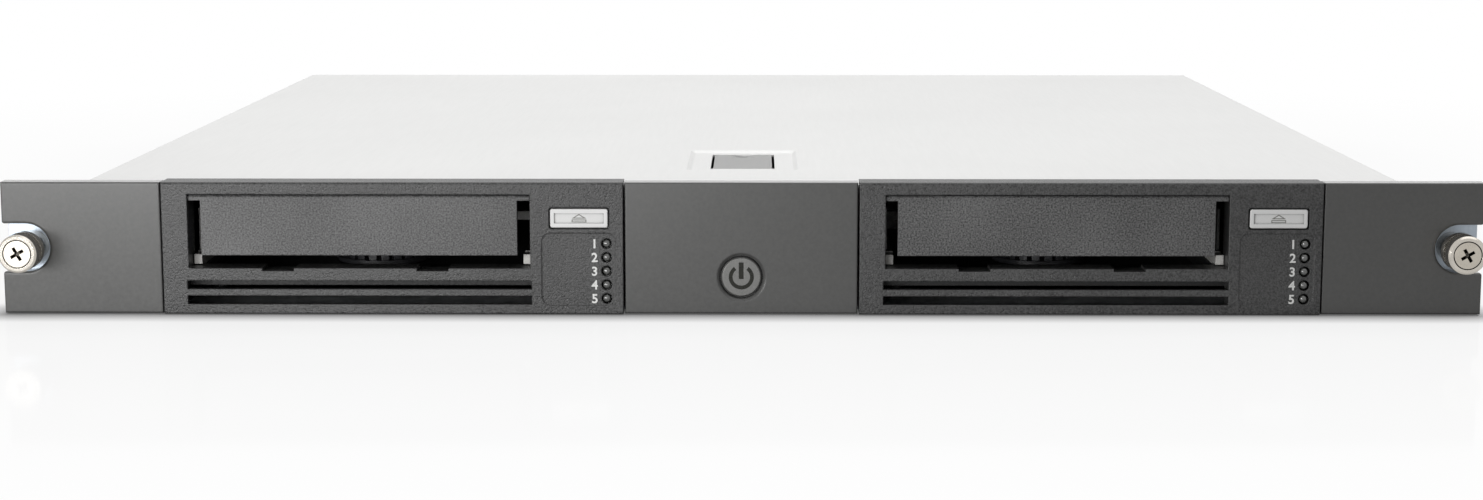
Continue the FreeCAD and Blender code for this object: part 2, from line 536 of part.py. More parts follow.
# Power button: disc, retaining flange and stem turned as one, with a pocket for the light window
power = start_body("power_button", "0", "front_y", "power_z")
power_profile = sketch_on(power, "power_profile", "YZ")
outline(power_profile, [
    ("power_inset", "0"), ("power_inset", "power_r - power_edge"), ("power_inset + power_edge", "power_r"),
    ("power_inset + power_disc", "power_r"), ("power_inset + power_disc", "power_flange_r"),
    ("power_inset + power_disc + power_flange", "power_flange_r"),
    ("power_inset + power_disc + power_flange", "power_stem_r"),
    ("power_stem_end", "power_stem_r"), ("power_stem_end", "0")])
revolve(power, "power_turned", power_profile, "H_Axis")
lens_seat = sketch_on(power, "lens_seat", "XZ")
rectangle(lens_seat, "-lens_width / 2", "lens_rise - lens_height / 2", "lens_width / 2",
          "lens_rise + lens_height / 2")
pocket(power, "lens_pocket", lens_seat, "power_inset + lens_deep")
publish("power_button", power)
publish("power_button_lens", block("power_lens", ("-lens_width / 2", "lens_width / 2"), (
    "front_y + power_inset", "front_y + power_inset + lens_deep"), (
    "power_z + lens_rise - lens_height / 2", "power_z + lens_rise + lens_height / 2")))

# Top cover: folded sheet, stamped pan, latch window and the strap that carries the latch
cover = start_body("top_cover", "0", "front_y", "0")
cover_fold = sketch_on(cover, "cover_fold", "XZ", "-cover_front")
half = "cover_width / 2"
lip = "cover_top - cover_lip"
under = "cover_top - gauge"
outline(cover_fold, [
    (f"-{half}", lip), (f"-{half} + gauge", lip), (f"-{half} + gauge", under), (f"{half} - gauge", under),
    (f"{half} - gauge", lip), (half, lip), (half, "cover_top"), (f"-{half}", "cover_top")])
pad(cover, "cover_sheet", cover_fold, "rear_y + gauge - front_y - cover_front", True)
cover_rear = sketch_on(cover, "cover_rear", "XZ", "-(rear_y - front_y)")
rectangle(cover_rear, f"-{half}", "cover_top - rear_lip", half, "cover_top")
pad(cover, "cover_rear_lip", cover_rear, "gauge", True)


def wedge(kind, name, top_z, deep, grow):
    item = cover.newObject(f"PartDesign::{kind}", name)
    flat = [face for face in cover.Origin.OriginFeatures if face.Role == "XY_Plane"][0]
    item.AttachmentSupport = [(flat, "")]
    item.MapMode = "FlatFace"
    lying = FreeCAD.Rotation(FreeCAD.Vector(1, 0, 0), -90)
    item.AttachmentOffset = FreeCAD.Placement(FreeCAD.Vector(), lying)
    bind(item, "AttachmentOffset.Base.y", "pan_front")
    bind(item, "AttachmentOffset.Base.z", top_z)
    limits = {
        "Xmin": f"-pan_width / 2 - {grow}", "Xmax": f"pan_width / 2 + {grow}", "Ymin": "0", "Ymax": deep,
        "Zmin": f"-{grow}", "Zmax": f"pan_length + {grow}", "X2min": f"-pan_floor / 2 - {grow}",
        "X2max": f"pan_floor / 2 + {grow}", "Z2min": f"pan_ramp_front - {grow}",
        "Z2max": f"pan_length - pan_ramp_rear + {grow}",
    }
    for prop, formula in limits.items():
        bind(item, prop, formula)
    document.recompute()


wedge("AdditiveWedge", "pan_skin", under, "pan_depth", "gauge")
wedge("SubtractiveWedge", "pan_hollow", "cover_top", "pan_depth", "0")
corner_x = (value("pan_width") + value("pan_floor")) / 4
pan_z = (value("cover_top") - value("pan_depth"), value("cover_top"))
dressed(cover, "Fillet", "pan_corners", "pan_corner", lambda edge: (
    edge.Curve.TypeId == "Part::GeomLine" and near(edge.BoundBox.ZMin, pan_z[0])
    and near(edge.BoundBox.ZMax, pan_z[1]) and near(abs(edge.BoundBox.Center.x), corner_x)))
window = sketch_on(cover, "latch_window", "XY", "cover_top")
rectangle(window, "-window_width / 2", "window_front", "window_width / 2", "window_front + window_length")
pocket(cover, "latch_opening", window, "pan_depth + gauge * 2")
floor_under = "(cover_top - pan_depth - gauge)"
strap = sketch_on(cover, "strap_profile", "YZ")
strap_far = "window_front + window_length + latch_overlap * 2 + strap_gauge"
strap_near = "window_front - latch_overlap * 2 - strap_gauge"
outline(strap, [
    (strap_near, floor_under), (strap_near, f"{floor_under} - strap_drop"),
    (strap_far, f"{floor_under} - strap_drop"), (strap_far, floor_under),
    (f"{strap_far} - strap_gauge", floor_under),
    (f"{strap_far} - strap_gauge", f"{floor_under} - strap_drop + strap_gauge"),
    (f"{strap_near} + strap_gauge", f"{floor_under} - strap_drop + strap_gauge"),
    (f"{strap_near} + strap_gauge", floor_under)])
pad(cover, "latch_strap", strap, "strap_width", False, True)
guide = sketch_on(cover, "plunger_guide", "XY", f"{floor_under} - strap_drop + strap_gauge * 2")
latch_mid = "window_front + window_length / 2"
circle(guide, "0", latch_mid, "plunger_r + plunger_fit")
pocket(cover, "plunger_hole", guide, "strap_gauge * 3")
publish("top_cover", cover)


# Latch plate with a finger scoop, its retaining base and plunger, and the arched leaf below it
def cover_latch():
    wide = "window_width / 2 - latch_side_gap"
    start = "front_y + window_front"
    rear = f"{start} + window_length - latch_end_gap"
    top = "cover_top - pan_depth - latch_drop"
    plate = block("latch_plate", (f"-({wide})", wide), (
        f"{start} + latch_front_gap", rear), (floor_under, top))
    base = block("latch_base_plate", (f"-({wide})", wide), (f"{start} - latch_overlap", (
        f"{start} + window_length + latch_overlap")), (f"{floor_under} - latch_base", floor_under))
    plunger = rod("latch_plunger", "plunger_r", ("0", f"front_y + {latch_mid}", (
        f"{floor_under} - latch_base - plunger_length")), "plunger_length", "z")
    scoop = rod("latch_scoop", "scoop_r", ("0", f"{rear} - scoop_length", (
        f"{top} + scoop_r - scoop_deep")), "scoop_length * 2", "y")
    return publish("cover_latch", cut("latch", fuse("latch_stock", plate, base, plunger), scoop))


cover_latch()
leaf = start_body("latch_spring", "0", f"front_y + {latch_mid}", f"{floor_under} - strap_drop + strap_gauge")
arch = sketch_on(leaf, "leaf_arch", "YZ")
rise = "(strap_drop - strap_gauge - latch_base)"
outline(arch, [
    ("-leaf_span / 2", "0"), ("-leaf_span / 2 + leaf_flat", "0"), ("-leaf_flat", f"{rise} - leaf_gauge"),
    ("leaf_flat", f"{rise} - leaf_gauge"), ("leaf_span / 2 - leaf_flat", "0"), ("leaf_span / 2", "0"),
    ("leaf_span / 2", "leaf_gauge"), ("leaf_span / 2 - leaf_flat + leaf_gauge / 2", "leaf_gauge"),
    ("leaf_flat + leaf_gauge / 2", rise), ("-leaf_flat - leaf_gauge / 2", rise),
    ("-leaf_span / 2 + leaf_flat - leaf_gauge / 2", "leaf_gauge"), ("-leaf_span / 2", "leaf_gauge")])
pad(leaf, "leaf_strip", arch, "leaf_width", False, True)
leaf_hole = sketch_on(leaf, "leaf_hole", "XY", f"{rise} * 2")
circle(leaf_hole, "0", "0", "plunger_r + plunger_fit")
pocket(leaf, "leaf_opening", leaf_hole)
publish("latch_spring", leaf)

# Power supply case, open below, with a row of vent slots in its top
supply = start_body("power_supply_case", "supply_left", "rear_y - gauge - supply_length", "gauge")
supply_plan = sketch_on(supply, "supply_plan", "XY")
rectangle(supply_plan, "0", "0", "supply_width", "supply_length")
pad(supply, "supply_block", supply_plan, "supply_height - gauge")
supply_room = sketch_on(supply, "supply_room", "XY")
rectangle(supply_room, "gauge", "gauge", "supply_width - gauge", "supply_length - gauge")
pocket(supply, "supply_hollow", supply_room, "supply_height - gauge * 2", True)
supply_back = sketch_on(supply, "supply_inlet", "XZ", "-supply_length - gauge")
rectangle(supply_back, "inlet_x - supply_left - inlet_width / 2", "inlet_z - gauge - inlet_height / 2",
          "inlet_x - supply_left + inlet_width / 2", "inlet_z - gauge + inlet_height / 2")
pocket(supply, "supply_inlet_cut", supply_back, "gauge * 3", True)
supply_vent = sketch_on(supply, "supply_vent", "XY", "supply_height")
rectangle(supply_vent, "supply_slot_pitch", "supply_slot_y", "supply_slot_pitch + supply_slot",
          "supply_slot_y + supply_slot_length")
first_slot = pocket(supply, "supply_slot_one", supply_vent, "gauge * 3")
slots = supply.newObject("PartDesign::LinearPattern", "supply_slots")
slots.Originals = [first_slot]
slots.Direction = (supply_vent, ["H_Axis"])
bind(slots, "Length", "supply_slot_pitch * (supply_slot_count - 1)")
bind(slots, "Occurrences", "supply_slot_count")
supply.Tip = slots
document.recompute()
publish("power_supply_case", supply)


# Mains inlet: flanged shell with a socket cavity and three blades
def power_inlet():
    sides = ("inlet_x - inlet_width / 2", "inlet_x + inlet_width / 2")
    low, high = ("inlet_z - inlet_height / 2", "inlet_z + inlet_height / 2")
    shell = block("inlet_shell", sides, ("rear_y - inlet_length", "rear_y"), (low, high))
    flange = block("inlet_plate", ("inlet_x - inlet_flange_w / 2", "inlet_x + inlet_flange_w / 2"), (
        "rear_y", "rear_y + inlet_flange"), ("inlet_z - inlet_flange_h / 2", "inlet_z + inlet_flange_h / 2"))
    room = block("inlet_room", (f"{sides[0]} + inlet_wall", f"{sides[1]} - inlet_wall"), (
        "rear_y - inlet_length + inlet_floor", "rear_y + inlet_flange * 2"), (
        f"{low} + inlet_wall", f"{high} - inlet_wall"))
    shaped = document.addObject("Part::Chamfer", "inlet_socket")
    shaped.Base = room
    document.recompute()
    top = value("inlet_z") + value("inlet_height") / 2 - value("inlet_wall")
    size = value("inlet_corner")
    shaped.Edges = [(i, size, size) for i, edge in enumerate(room.Shape.Edges, 1)
                    if runs_along(edge, "y") and near(edge.BoundBox.ZMax, top)]
    pieces = [cut("inlet_body", fuse("inlet_stock", shell, flange), shaped)]
    pins = {
        "earth": ("0", "inlet_pin_rise"),
        "live": ("-inlet_pin_pitch", "-inlet_pin_drop"),
        "neutral": ("inlet_pin_pitch", "-inlet_pin_drop"),
    }
    for number, (across, up) in pins.items():
        pieces.append(block(f"inlet_{number}", (
            f"inlet_x + ({across}) - inlet_pin_w / 2", f"inlet_x + ({across}) + inlet_pin_w / 2"), (
            "rear_y - inlet_length", "rear_y + inlet_flange - inlet_pin_back"), (
            f"inlet_z + ({up}) - inlet_pin_h / 2", f"inlet_z + ({up}) + inlet_pin_h / 2")))
    return publish("power_inlet", fuse("inlet", *pieces))


power_inlet()


# Fans: square frame with a strutted motor plate, and a bladed rotor on its shaft
def fan(side, sign):
    middle = f"{sign}fan_x"
    front = "rear_y - gauge - fan_depth"
    centre_z = "gauge + fan_size / 2"
    stock = block(f"{side}_fan_block", (f"{middle} - fan_size / 2", f"{middle} + fan_size / 2"), (
        front, "rear_y - gauge"), ("gauge", "gauge + fan_size"))
    ring = cut(f"{side}_fan_ring", stock, rod(f"{side}_fan_bore", "fan_bore_r", (
        middle, f"{front} - gauge", centre_z), "fan_depth + gauge * 2", "y"))
    plate_y = "rear_y - gauge - fan_plate"
    plate = rod(f"{side}_motor_plate", "fan_hub_r", (middle, plate_y, centre_z), "fan_plate", "y")
    struts = [block(f"{side}_strut_level", (
        f"{middle} - fan_size / 2 + gauge", f"{middle} + fan_size / 2 - gauge"), (
        plate_y, "rear_y - gauge"), (f"{centre_z} - fan_strut / 2", f"{centre_z} + fan_strut / 2"))]
    struts.append(block(f"{side}_strut_upright", (f"{middle} - fan_strut / 2", f"{middle} + fan_strut / 2"), (
        plate_y, "rear_y - gauge"), ("gauge * 2", "fan_size")))
    frame = fuse(f"{side}_fan_stock", ring, plate, *struts)
    bore = rod(f"{side}_shaft_bore", "fan_shaft_r + running_fit", (middle, f"{plate_y} - gauge", centre_z), (
        "fan_plate + gauge - fan_axle_gap"), "y")
    publish(f"{side}_fan_frame", cut(f"{side}_fan", frame, bore))
    hub_y = f"{plate_y} - fan_axle_gap - fan_hub_length"
    hub = rod(f"{side}_fan_hub", "fan_hub_r", (middle, hub_y, centre_z), "fan_hub_length", "y")
    shaft = rod(f"{side}_fan_shaft", "fan_shaft_r", (middle, hub_y, centre_z), (
        "fan_hub_length + fan_plate - fan_axle_gap"), "y")
    blades = []
    count = int(value("fan_blade_count"))
    rotor_y = value("rear_y") - value("gauge") - value("fan_plate") - value("fan_axle_gap")
    hub_mid = FreeCAD.Vector(float(f"{sign}1") * value("fan_x"), rotor_y - value("fan_hub_length") / 2, (
        value("gauge") + value("fan_size") / 2))
    for number in range(count):
        blade = document.addObject("Part::Box", f"{side}_blade_{number}")
        bind(blade, "Length", "fan_tip_r - fan_hub_r / 2")
        bind(blade, "Width", "fan_blade_chord")
        bind(blade, "Height", "fan_blade_gauge")
        pitch = FreeCAD.Rotation(FreeCAD.Vector(1, 0, 0), value("fan_blade_pitch"))
        around = FreeCAD.Rotation(FreeCAD.Vector(0, 1, 0), 360.0 * number / count)
        centred = FreeCAD.Vector(value("fan_hub_r") / 2, 0, 0) + pitch.multVec(
            FreeCAD.Vector(0, -value("fan_blade_chord") / 2, -value("fan_blade_gauge") / 2))
        blade.Placement = FreeCAD.Placement(hub_mid + around.multVec(centred), around.multiply(pitch))
        blades.append(blade)
    reach = rod(f"{side}_blade_reach", "fan_tip_r", (middle, hub_y, centre_z), "fan_hub_length", "y")
    swept = document.addObject("Part::MultiCommon", f"{side}_blades")
    swept.Shapes = [fuse(f"{side}_blade_set", *blades), reach]
    publish(f"{side}_fan_rotor", fuse(f"{side}_rotor", hub, shaft, swept))


# Data ports: shielded shells with a contact tongue inside
def data_port(side, number):
    middle = f"(port_x + {number} * port_pitch)"
    low = "port_z - port_height / 2"
    shell = block(f"{side}_port_shell", (f"{middle} - port_width / 2", f"{middle} + port_width / 2"), (
        "rear_y + port_reach - port_length", "rear_y + port_reach"), (low, f"{low} + port_height"))
    room = block(f"{side}_port_room", (
        f"{middle} - port_width / 2 + port_wall", f"{middle} + port_width / 2 - port_wall"), (
        "rear_y + port_reach - port_deep", "rear_y + port_reach + gauge"), (
        f"{low} + port_wall", f"{low} + port_height - port_wall"))
    tongue = block(f"{side}_port_tongue", (
        f"{middle} - port_tongue_w / 2", f"{middle} + port_tongue_w / 2"), (
        "rear_y + port_reach - port_length", "rear_y + port_reach - port_tongue_back"), (
        "port_z - port_tongue / 2", "port_z + port_tongue / 2"))
    foot = block(f"{side}_port_post", (f"{middle} - port_width / 2", f"{middle} + port_width / 2"), (
        "rear_y + port_reach - port_length", "rear_y + port_reach - port_length + port_foot"), (
        "gauge", f"{low} + port_wall"))
    publish(f"{side}_data_port", fuse(f"{side}_port", cut(f"{side}_port_case", shell, room), tongue, foot))


fan("left", "-")
fan("right", "")
data_port("left", "0")
data_port("right", "1")


# Drive bezel: one moulding with the cartridge slot, vents, button and light openings
def drive_bezel(side, left):
    body = start_body(f"{side}_drive_bezel", left, "front_y - bezel_proud", "bezel_base")
    front = sketch_on(body, f"{side}_bezel_outline", "XZ")
    rectangle(front, "0", "0", "bezel_width", "bezel_height")
    pad(body, f"{side}_bezel_block", front, "bezel_depth", True)
    high = value("bezel_height")
    dressed(body, "Fillet", f"{side}_bezel_top", "bezel_round", lambda edge: (
        near(edge.BoundBox.YMax, 0.0) and near(edge.BoundBox.ZMin, high)))
    dressed(body, "Fillet", f"{side}_bezel_rim", "bezel_edge", lambda edge: (
        runs_along(edge, "x") and near(edge.BoundBox.YMax, 0.0) and near(edge.BoundBox.ZMax, 0.0)))
    throat = sketch_on(body, f"{side}_throat", "XZ")
    rectangle(throat, "slot_left", "slot_low", "slot_right", "slot_high")
    pocket(body, f"{side}_slot", throat)
    nicks = sketch_on(body, f"{side}_nicks", "XZ")
    for start in ("nick_a", "nick_b"):
        rectangle(nicks, start, "slot_low - nick_deep", f"{start} + nick_width", "slot_low + nick_deep")
    pocket(body, f"{side}_lip_nicks", nicks)
    vents = sketch_on(body, f"{side}_vents", "XZ")
    for low in ("vent_low", "vent_low + vent_pitch"):
        rectangle(vents, "vent_left", low, "vent_right", f"{low} + vent_rise")
    pocket(body, f"{side}_vent_slots", vents)
    opening = sketch_on(body, f"{side}_eject_opening", "XZ")
    rectangle(opening, "eject_left - eject_gap", "eject_low - eject_gap", (
        "eject_left + eject_width + eject_gap"), "eject_low + eject_height + eject_gap")
    pocket(body, f"{side}_eject_hole", opening)
    corners = (value("eject_left") - value("eject_gap"),
               value("eject_left") + value("eject_width") + value("eject_gap"))
    dressed(body, "Fillet", f"{side}_eject_corners", "eject_corner", lambda edge: (
        runs_along(edge, "y") and any(near(edge.BoundBox.XMin, corner) for corner in corners)))
    field = sketch_on(body, f"{side}_field", "XZ")
    rectangle(field, "field_left", "field_low", "field_left + field_width", "field_low + field_height")
    pocket(body, f"{side}_light_field", field, "field_deep")
    deep = value("field_deep")
    dressed(body, "Fillet", f"{side}_field_corners", "field_corner", lambda edge: (
        runs_along(edge, "y") and near(edge.Length, deep)))
    lamps = sketch_on(body, f"{side}_lamp_cups", "XZ")
    for step in range(int(value("lamp_count"))):
        circle(lamps, "lamp_x", f"lamp_low + {step} * lamp_pitch", "lamp_hole_r")
    pocket(body, f"{side}_lamp_holes", lamps)
    rear = sketch_on(body, f"{side}_bezel_back", "XZ", "-bezel_depth")
    rectangle(rear, "pocket_left", "pocket_low", "pocket_right", "pocket_high")
    rectangle(rear, "duct_left", "pocket_low", "duct_right", "duct_high")
    pocket(body, f"{side}_bezel_pockets", rear, "bezel_depth - bezel_wall", True)
    bearing = sketch_on(body, f"{side}_bearing", "YZ", "slot_left - pin_hole_reach")
    circle(bearing, "door_inset + door_gauge / 2", "hinge_z - bezel_base", "pin_hole_r")
    pocket(body, f"{side}_hinge_bearings", bearing, "slot_right - slot_left + pin_hole_reach * 2", True)
    return publish(f"{side}_drive_bezel", body)


# Cartridge door: T-shaped flap with its hinge pins
def cartridge_door(side, left):
    body = start_body(f"{side}_cartridge_door", left, "front_y - bezel_proud + door_inset", "0")
    face = sketch_on(body, f"{side}_door_outline", "XZ")
    outline(face, [
        ("door_left", "door_low"), ("door_right", "door_low"), ("door_right", "strip_low"),
        ("strip_right", "strip_low"), ("strip_right", "door_high"), ("strip_left", "door_high"),
        ("strip_left", "strip_low"), ("door_left", "strip_low")])
    pad(body, f"{side}_door_plate", face, "door_gauge", True)
    high = value("door_high")
    dressed(body, "Fillet", f"{side}_door_top", "door_round", lambda edge: (
        runs_along(edge, "x") and near(edge.BoundBox.ZMin, high)))
    low = value("door_low")
    dressed(body, "Fillet", f"{side}_door_foot", "door_edge", lambda edge: (
        runs_along(edge, "x") and near(edge.BoundBox.ZMin, low) and near(edge.BoundBox.YMax, 0.0)))
    pins = sketch_on(body, f"{side}_door_pin", "YZ", "strip_left - pin_reach")
    circle(pins, "door_gauge / 2", "hinge_z", "pin_r")
    pad(body, f"{side}_door_pins", pins, "strip_right - strip_left + pin_reach * 2")
    return publish(f"{side}_cartridge_door", body)


# Return leaf fixed under the lid, its tip on the back of the door
def door_spring(side, left):
    body = start_body(f"{side}_door_spring", f"{left} + bay_centre", (
        "front_y - bezel_proud + door_inset + door_gauge"), "0")
    bent = sketch_on(body, f"{side}_door_leaf", "YZ")
    skin = "door_leaf_gauge"
    outline(bent, [
        ("0", "door_leaf_tip"), (skin, "door_leaf_tip"), (f"door_gauge * 2 + {skin}", f"lid_base - {skin}"),
        ("door_leaf_back", f"lid_base - {skin}"), ("door_leaf_back", "lid_base"),
        ("bezel_depth", "lid_base"), ("bezel_depth", f"lid_base - {skin} / 2"),
        ("door_gauge * 2", f"lid_base - {skin} / 2")])
    pad(body, f"{side}_door_leaf_strip", bent, "door_leaf_w", False, True)
    return publish(f"{side}_door_spring", body)


# Eject button: cap with a sunk panel, retaining flange and stem
def eject_button(side, left):
    body = start_body(f"{side}_eject_button", f"{left} + eject_left", "front_y - bezel_proud", (
        "bezel_base + eject_low"))
    cap = sketch_on(body, f"{side}_cap", "XZ", "eject_proud")
    rectangle(cap, "0", "0", "eject_width", "eject_height")
    pad(body, f"{side}_cap_block", cap, "eject_proud + bezel_wall + eject_play", True)
    dressed(body, "Fillet", f"{side}_cap_corners", "eject_corner", lambda edge: runs_along(edge, "y"))
    front = -value("eject_proud")
    dressed(body, "Fillet", f"{side}_cap_rim", "bezel_edge", lambda edge: near(edge.BoundBox.YMax, front))
    panel = sketch_on(body, f"{side}_panel", "XZ", "eject_proud")
    rectangle(panel, "(eject_width - eject_panel_w) / 2", "(eject_height - eject_panel_h) / 2", (
        "(eject_width + eject_panel_w) / 2"), "(eject_height + eject_panel_h) / 2")
    pocket(body, f"{side}_cap_panel", panel, "eject_panel_deep")
    flange = sketch_on(body, f"{side}_cap_flange", "XZ", "-(bezel_wall + eject_play)")
    rectangle(flange, "-eject_flange", "-eject_flange", "eject_width + eject_flange", (
        "eject_height + eject_flange"))
    pad(body, f"{side}_cap_stop", flange, "eject_flange", True)
    stem = sketch_on(body, f"{side}_cap_stem", "XZ", "-(bezel_wall + eject_play)")
    circle(stem, "eject_width / 2", "eject_height / 2", "eject_stem_r")
    pad(body, f"{side}_cap_post", stem, "eject_stem_end - bezel_wall - eject_play", True)
    return publish(f"{side}_eject_button", body)


# Light pipe: five domed rods on one bar
def light_pipe(side, left):
    body = start_body(f"{side}_indicator_light_pipe", left, "front_y - bezel_proud", "bezel_base")
    bar = sketch_on(body, f"{side}_pipe_bar", "XZ", "-lamp_bar_y")
    rectangle(bar, "lamp_x - lamp_bar_half", "lamp_low - lamp_bar_half", "lamp_x + lamp_bar_half", (
        "lamp_low + lamp_pitch * (lamp_count - 1) + lamp_bar_half"))
    pad(body, f"{side}_pipe_base", bar, "panel_board_y - lamp_bar_y", True)
    tips = sketch_on(body, f"{side}_pipe_tips", "XZ", "-lamp_inset")
    for step in range(int(value("lamp_count"))):
        circle(tips, "lamp_x", f"lamp_low + {step} * lamp_pitch", "lamp_r")
    pad(body, f"{side}_pipe_rods", tips, "lamp_bar_y - lamp_inset", True)
    front = value("lamp_inset")
    dressed(body, "Chamfer", f"{side}_pipe_domes", "lamp_round", lambda edge: near(edge.BoundBox.YMax, front))
    return publish(f"{side}_indicator_light_pipe", body)


# Front board behind the button and the lights
def front_board(side, left):
    back = "front_y - bezel_proud + panel_board_y"
    board = block(f"{side}_front_laminate", (
        f"{left} + pocket_left + board_margin", f"{left} + pocket_right - board_margin"), (
        back, "front_y - bezel_proud + bezel_depth"), (
        "bezel_base + pocket_low + board_margin", "bezel_base + pocket_high - board_margin"))
    mid_x = f"{left} + eject_left + eject_width / 2"
    mid_z = "bezel_base + eject_low + eject_height / 2"
    tact = block(f"{side}_tact", (f"{mid_x} - tact_half", f"{mid_x} + tact_half"), (
        f"{back} - tact_high", back), (f"{mid_z} - tact_half", f"{mid_z} + tact_half"))
    return publish(f"{side}_front_board", fuse(f"{side}_front_pcb", board, tact))


# Drive base: side walls, deck, loader ledges, reel post and rear wall
def drive_base(side, left):
    near_x = f"{left} + drive_inset"
    far_x = f"{left} + drive_inset + drive_width"
    front = "front_y - bezel_proud + bezel_depth"
    rear = f"{front} + drive_length"
    deck_top = "deck_low + deck_gauge"
    parts = [
        block(f"{side}_base_wall_a", (near_x, f"{near_x} + drive_wall"), (front, rear), (
            "gauge", "wall_top")),
        block(f"{side}_base_wall_b", (f"{far_x} - drive_wall", far_x), (front, rear), (
            "gauge", "wall_top")),
        block(f"{side}_base_deck", (near_x, far_x), (front, rear), ("deck_low", deck_top)),
        block(f"{side}_base_rear", (near_x, far_x), (f"{rear} - drive_wall", rear), ("gauge", "wall_top")),
        block(f"{side}_base_ledge_a", (near_x, f"{left} + ledge_left"), (front, f"{front} + ledge_end"), (
            "ledge_low", "ledge_top")),
        block(f"{side}_base_ledge_b", (f"{left} + ledge_right", f"{left} + cage_right"), (
            front, f"{front} + ledge_end"), ("deck_low", "ledge_top")),
        rod(f"{side}_base_boss", "post_boss_r", (f"{left} + reel_x", "front_y + reel_y", "deck_low"), (
            "reel_low - running_fit - deck_low"), "z"),
        rod(f"{side}_base_post", "post_r", (f"{left} + reel_x", "front_y + reel_y", "deck_low"), (
            "post_top - deck_low"), "z")]
    for across in ("mother_left + mother_inset", "mother_right - mother_inset"):
        for along in ("mother_front + mother_inset", "mother_rear - mother_inset"):
            parts.append(rod(f"{side}_base_boss_{len(parts)}", "mother_boss_r", (
                f"{left} + {across}", f"front_y + {along}", "mother_low + board_gauge"), (
                f"{deck_top} - mother_low - board_gauge"), "z"))
    hole = rod(f"{side}_hub_hole", "hub_hole_r", (f"{left} + bay_centre", "front_y + hub_y", "gauge"), (
        "hub_top"), "z")
    window = block(f"{side}_host_window", (f"{left} + host_left", f"{left} + host_left + host_width"), (
        f"{rear} - drive_wall * 2", f"{rear} + drive_wall"), ("host_low", "host_low + host_height"))
    clear = block(f"{side}_deck_clear", (f"{left} + host_left", f"{left} + host_left + host_width"), (
        f"{rear} - host_depth", rear), ("deck_low - gauge", f"{deck_top} + host_height"))
    stock = fuse(f"{side}_base_stock", *parts)
    return publish(f"{side}_drive_base", cut(f"{side}_base", stock, hole, window, clear))


# Drive lid: folded sheet over the base, with a sunk panel for stiffness
def drive_lid(side, left):
    body = start_body(f"{side}_drive_lid", f"{left} + drive_inset - (lid_side_gap + lid_gauge)", (
        "front_y - bezel_proud + bezel_depth"), "0")
    fold = sketch_on(body, f"{side}_lid_fold", "XZ")
    wide = "(drive_width + (lid_side_gap + lid_gauge) * 2)"
    outline(fold, [
        ("0", "lid_flange_low"), ("lid_gauge", "lid_flange_low"), ("lid_gauge", "lid_base"),
        (f"{wide} - lid_gauge", "lid_base"), (f"{wide} - lid_gauge", "lid_flange_low"),
        (wide, "lid_flange_low"), (wide, "lid_top"), ("0", "lid_top")])
    pad(body, f"{side}_lid_sheet", fold, "drive_length", True)
    panel = sketch_on(body, f"{side}_lid_panel", "XY", "lid_top")
    rectangle(panel, "lid_panel_side", "lid_panel_front", f"{wide} - lid_panel_side", (
        "drive_length - lid_panel_rear"))
    pocket(body, f"{side}_lid_sink", panel, "lid_panel_deep")
    deep = value("lid_panel_deep")
    dressed(body, "Fillet", f"{side}_lid_sink_corners", "lid_panel_corner", lambda edge: (
        runs_along(edge, "z") and near(edge.Length, deep)))
    return publish(f"{side}_drive_lid", body)


# Loader carriage: two guide rails with noses, upright wings and a bridge behind the cartridge
def loader_carriage(side, left):
    parts = []
    for name, start, wing in (("a", "rail_left", "rail_left"), (
            "b", "rail_right", "rail_right + rail_w - wing_gauge")):
        across = (f"{left} + {start}", f"{left} + {start} + rail_w")
        parts.append(block(f"{side}_rail_{name}", across, (
            "front_y + rail_front", "front_y + rail_rear"), ("rail_low", "rail_high")))
        parts.append(block(f"{side}_nose_{name}", across, (
            "front_y + nose_front", "front_y + rail_front + rail_w"), ("nose_low", "nose_high")))
        parts.append(block(f"{side}_wing_{name}", (f"{left} + {wing}", f"{left} + {wing} + wing_gauge"), (
            "front_y + rail_front + rail_w", "front_y + rail_rear"), ("rail_low", "wing_high")))
    parts.append(block(f"{side}_bridge", (f"{left} + rail_left", f"{left} + rail_right + rail_w"), (
        "front_y + bridge_back", "front_y + rail_rear"), ("bridge_low", "rail_high")))
    return publish(f"{side}_loader_carriage", fuse(f"{side}_carriage", *parts))


# Spindle hub: disc, toothed ring and shaft
def spindle_hub(side, left):
    body = start_body(f"{side}_spindle_hub", f"{left} + bay_centre", "front_y + hub_y", "0")
    profile = sketch_on(body, f"{side}_hub_profile", "XZ")
    disc = "hub_low + hub_disc"
    outline(profile, [
        ("0", "hub_shaft_low"), ("hub_shaft_r", "hub_shaft_low"), ("hub_shaft_r", "hub_low"),
        ("hub_r", "hub_low"), ("hub_r", disc), ("tooth_out", disc), ("tooth_out", "hub_top"),
        ("tooth_in", "hub_top"),
        ("tooth_in", disc), ("hub_pin_r", disc), ("hub_pin_r", "hub_top"), ("0", "hub_top")])
    revolve(body, f"{side}_hub_turned", profile, "V_Axis")
    gap = sketch_on(body, f"{side}_tooth_gap", "XY", "hub_top")
    rectangle(gap, "tooth_in - tooth_gap / 2", "-tooth_gap / 2", "tooth_out + tooth_gap", "tooth_gap / 2")
    first = pocket(body, f"{side}_tooth_cut", gap, "hub_top - hub_low - hub_disc")
    ring = body.newObject("PartDesign::PolarPattern", f"{side}_teeth")
    ring.Originals = [first]
    ring.Axis = (gap, ["N_Axis"])
    ring.Angle = 360.0
    bind(ring, "Occurrences", "tooth_count")
    body.Tip = ring
    document.recompute()
    return publish(f"{side}_spindle_hub", body)


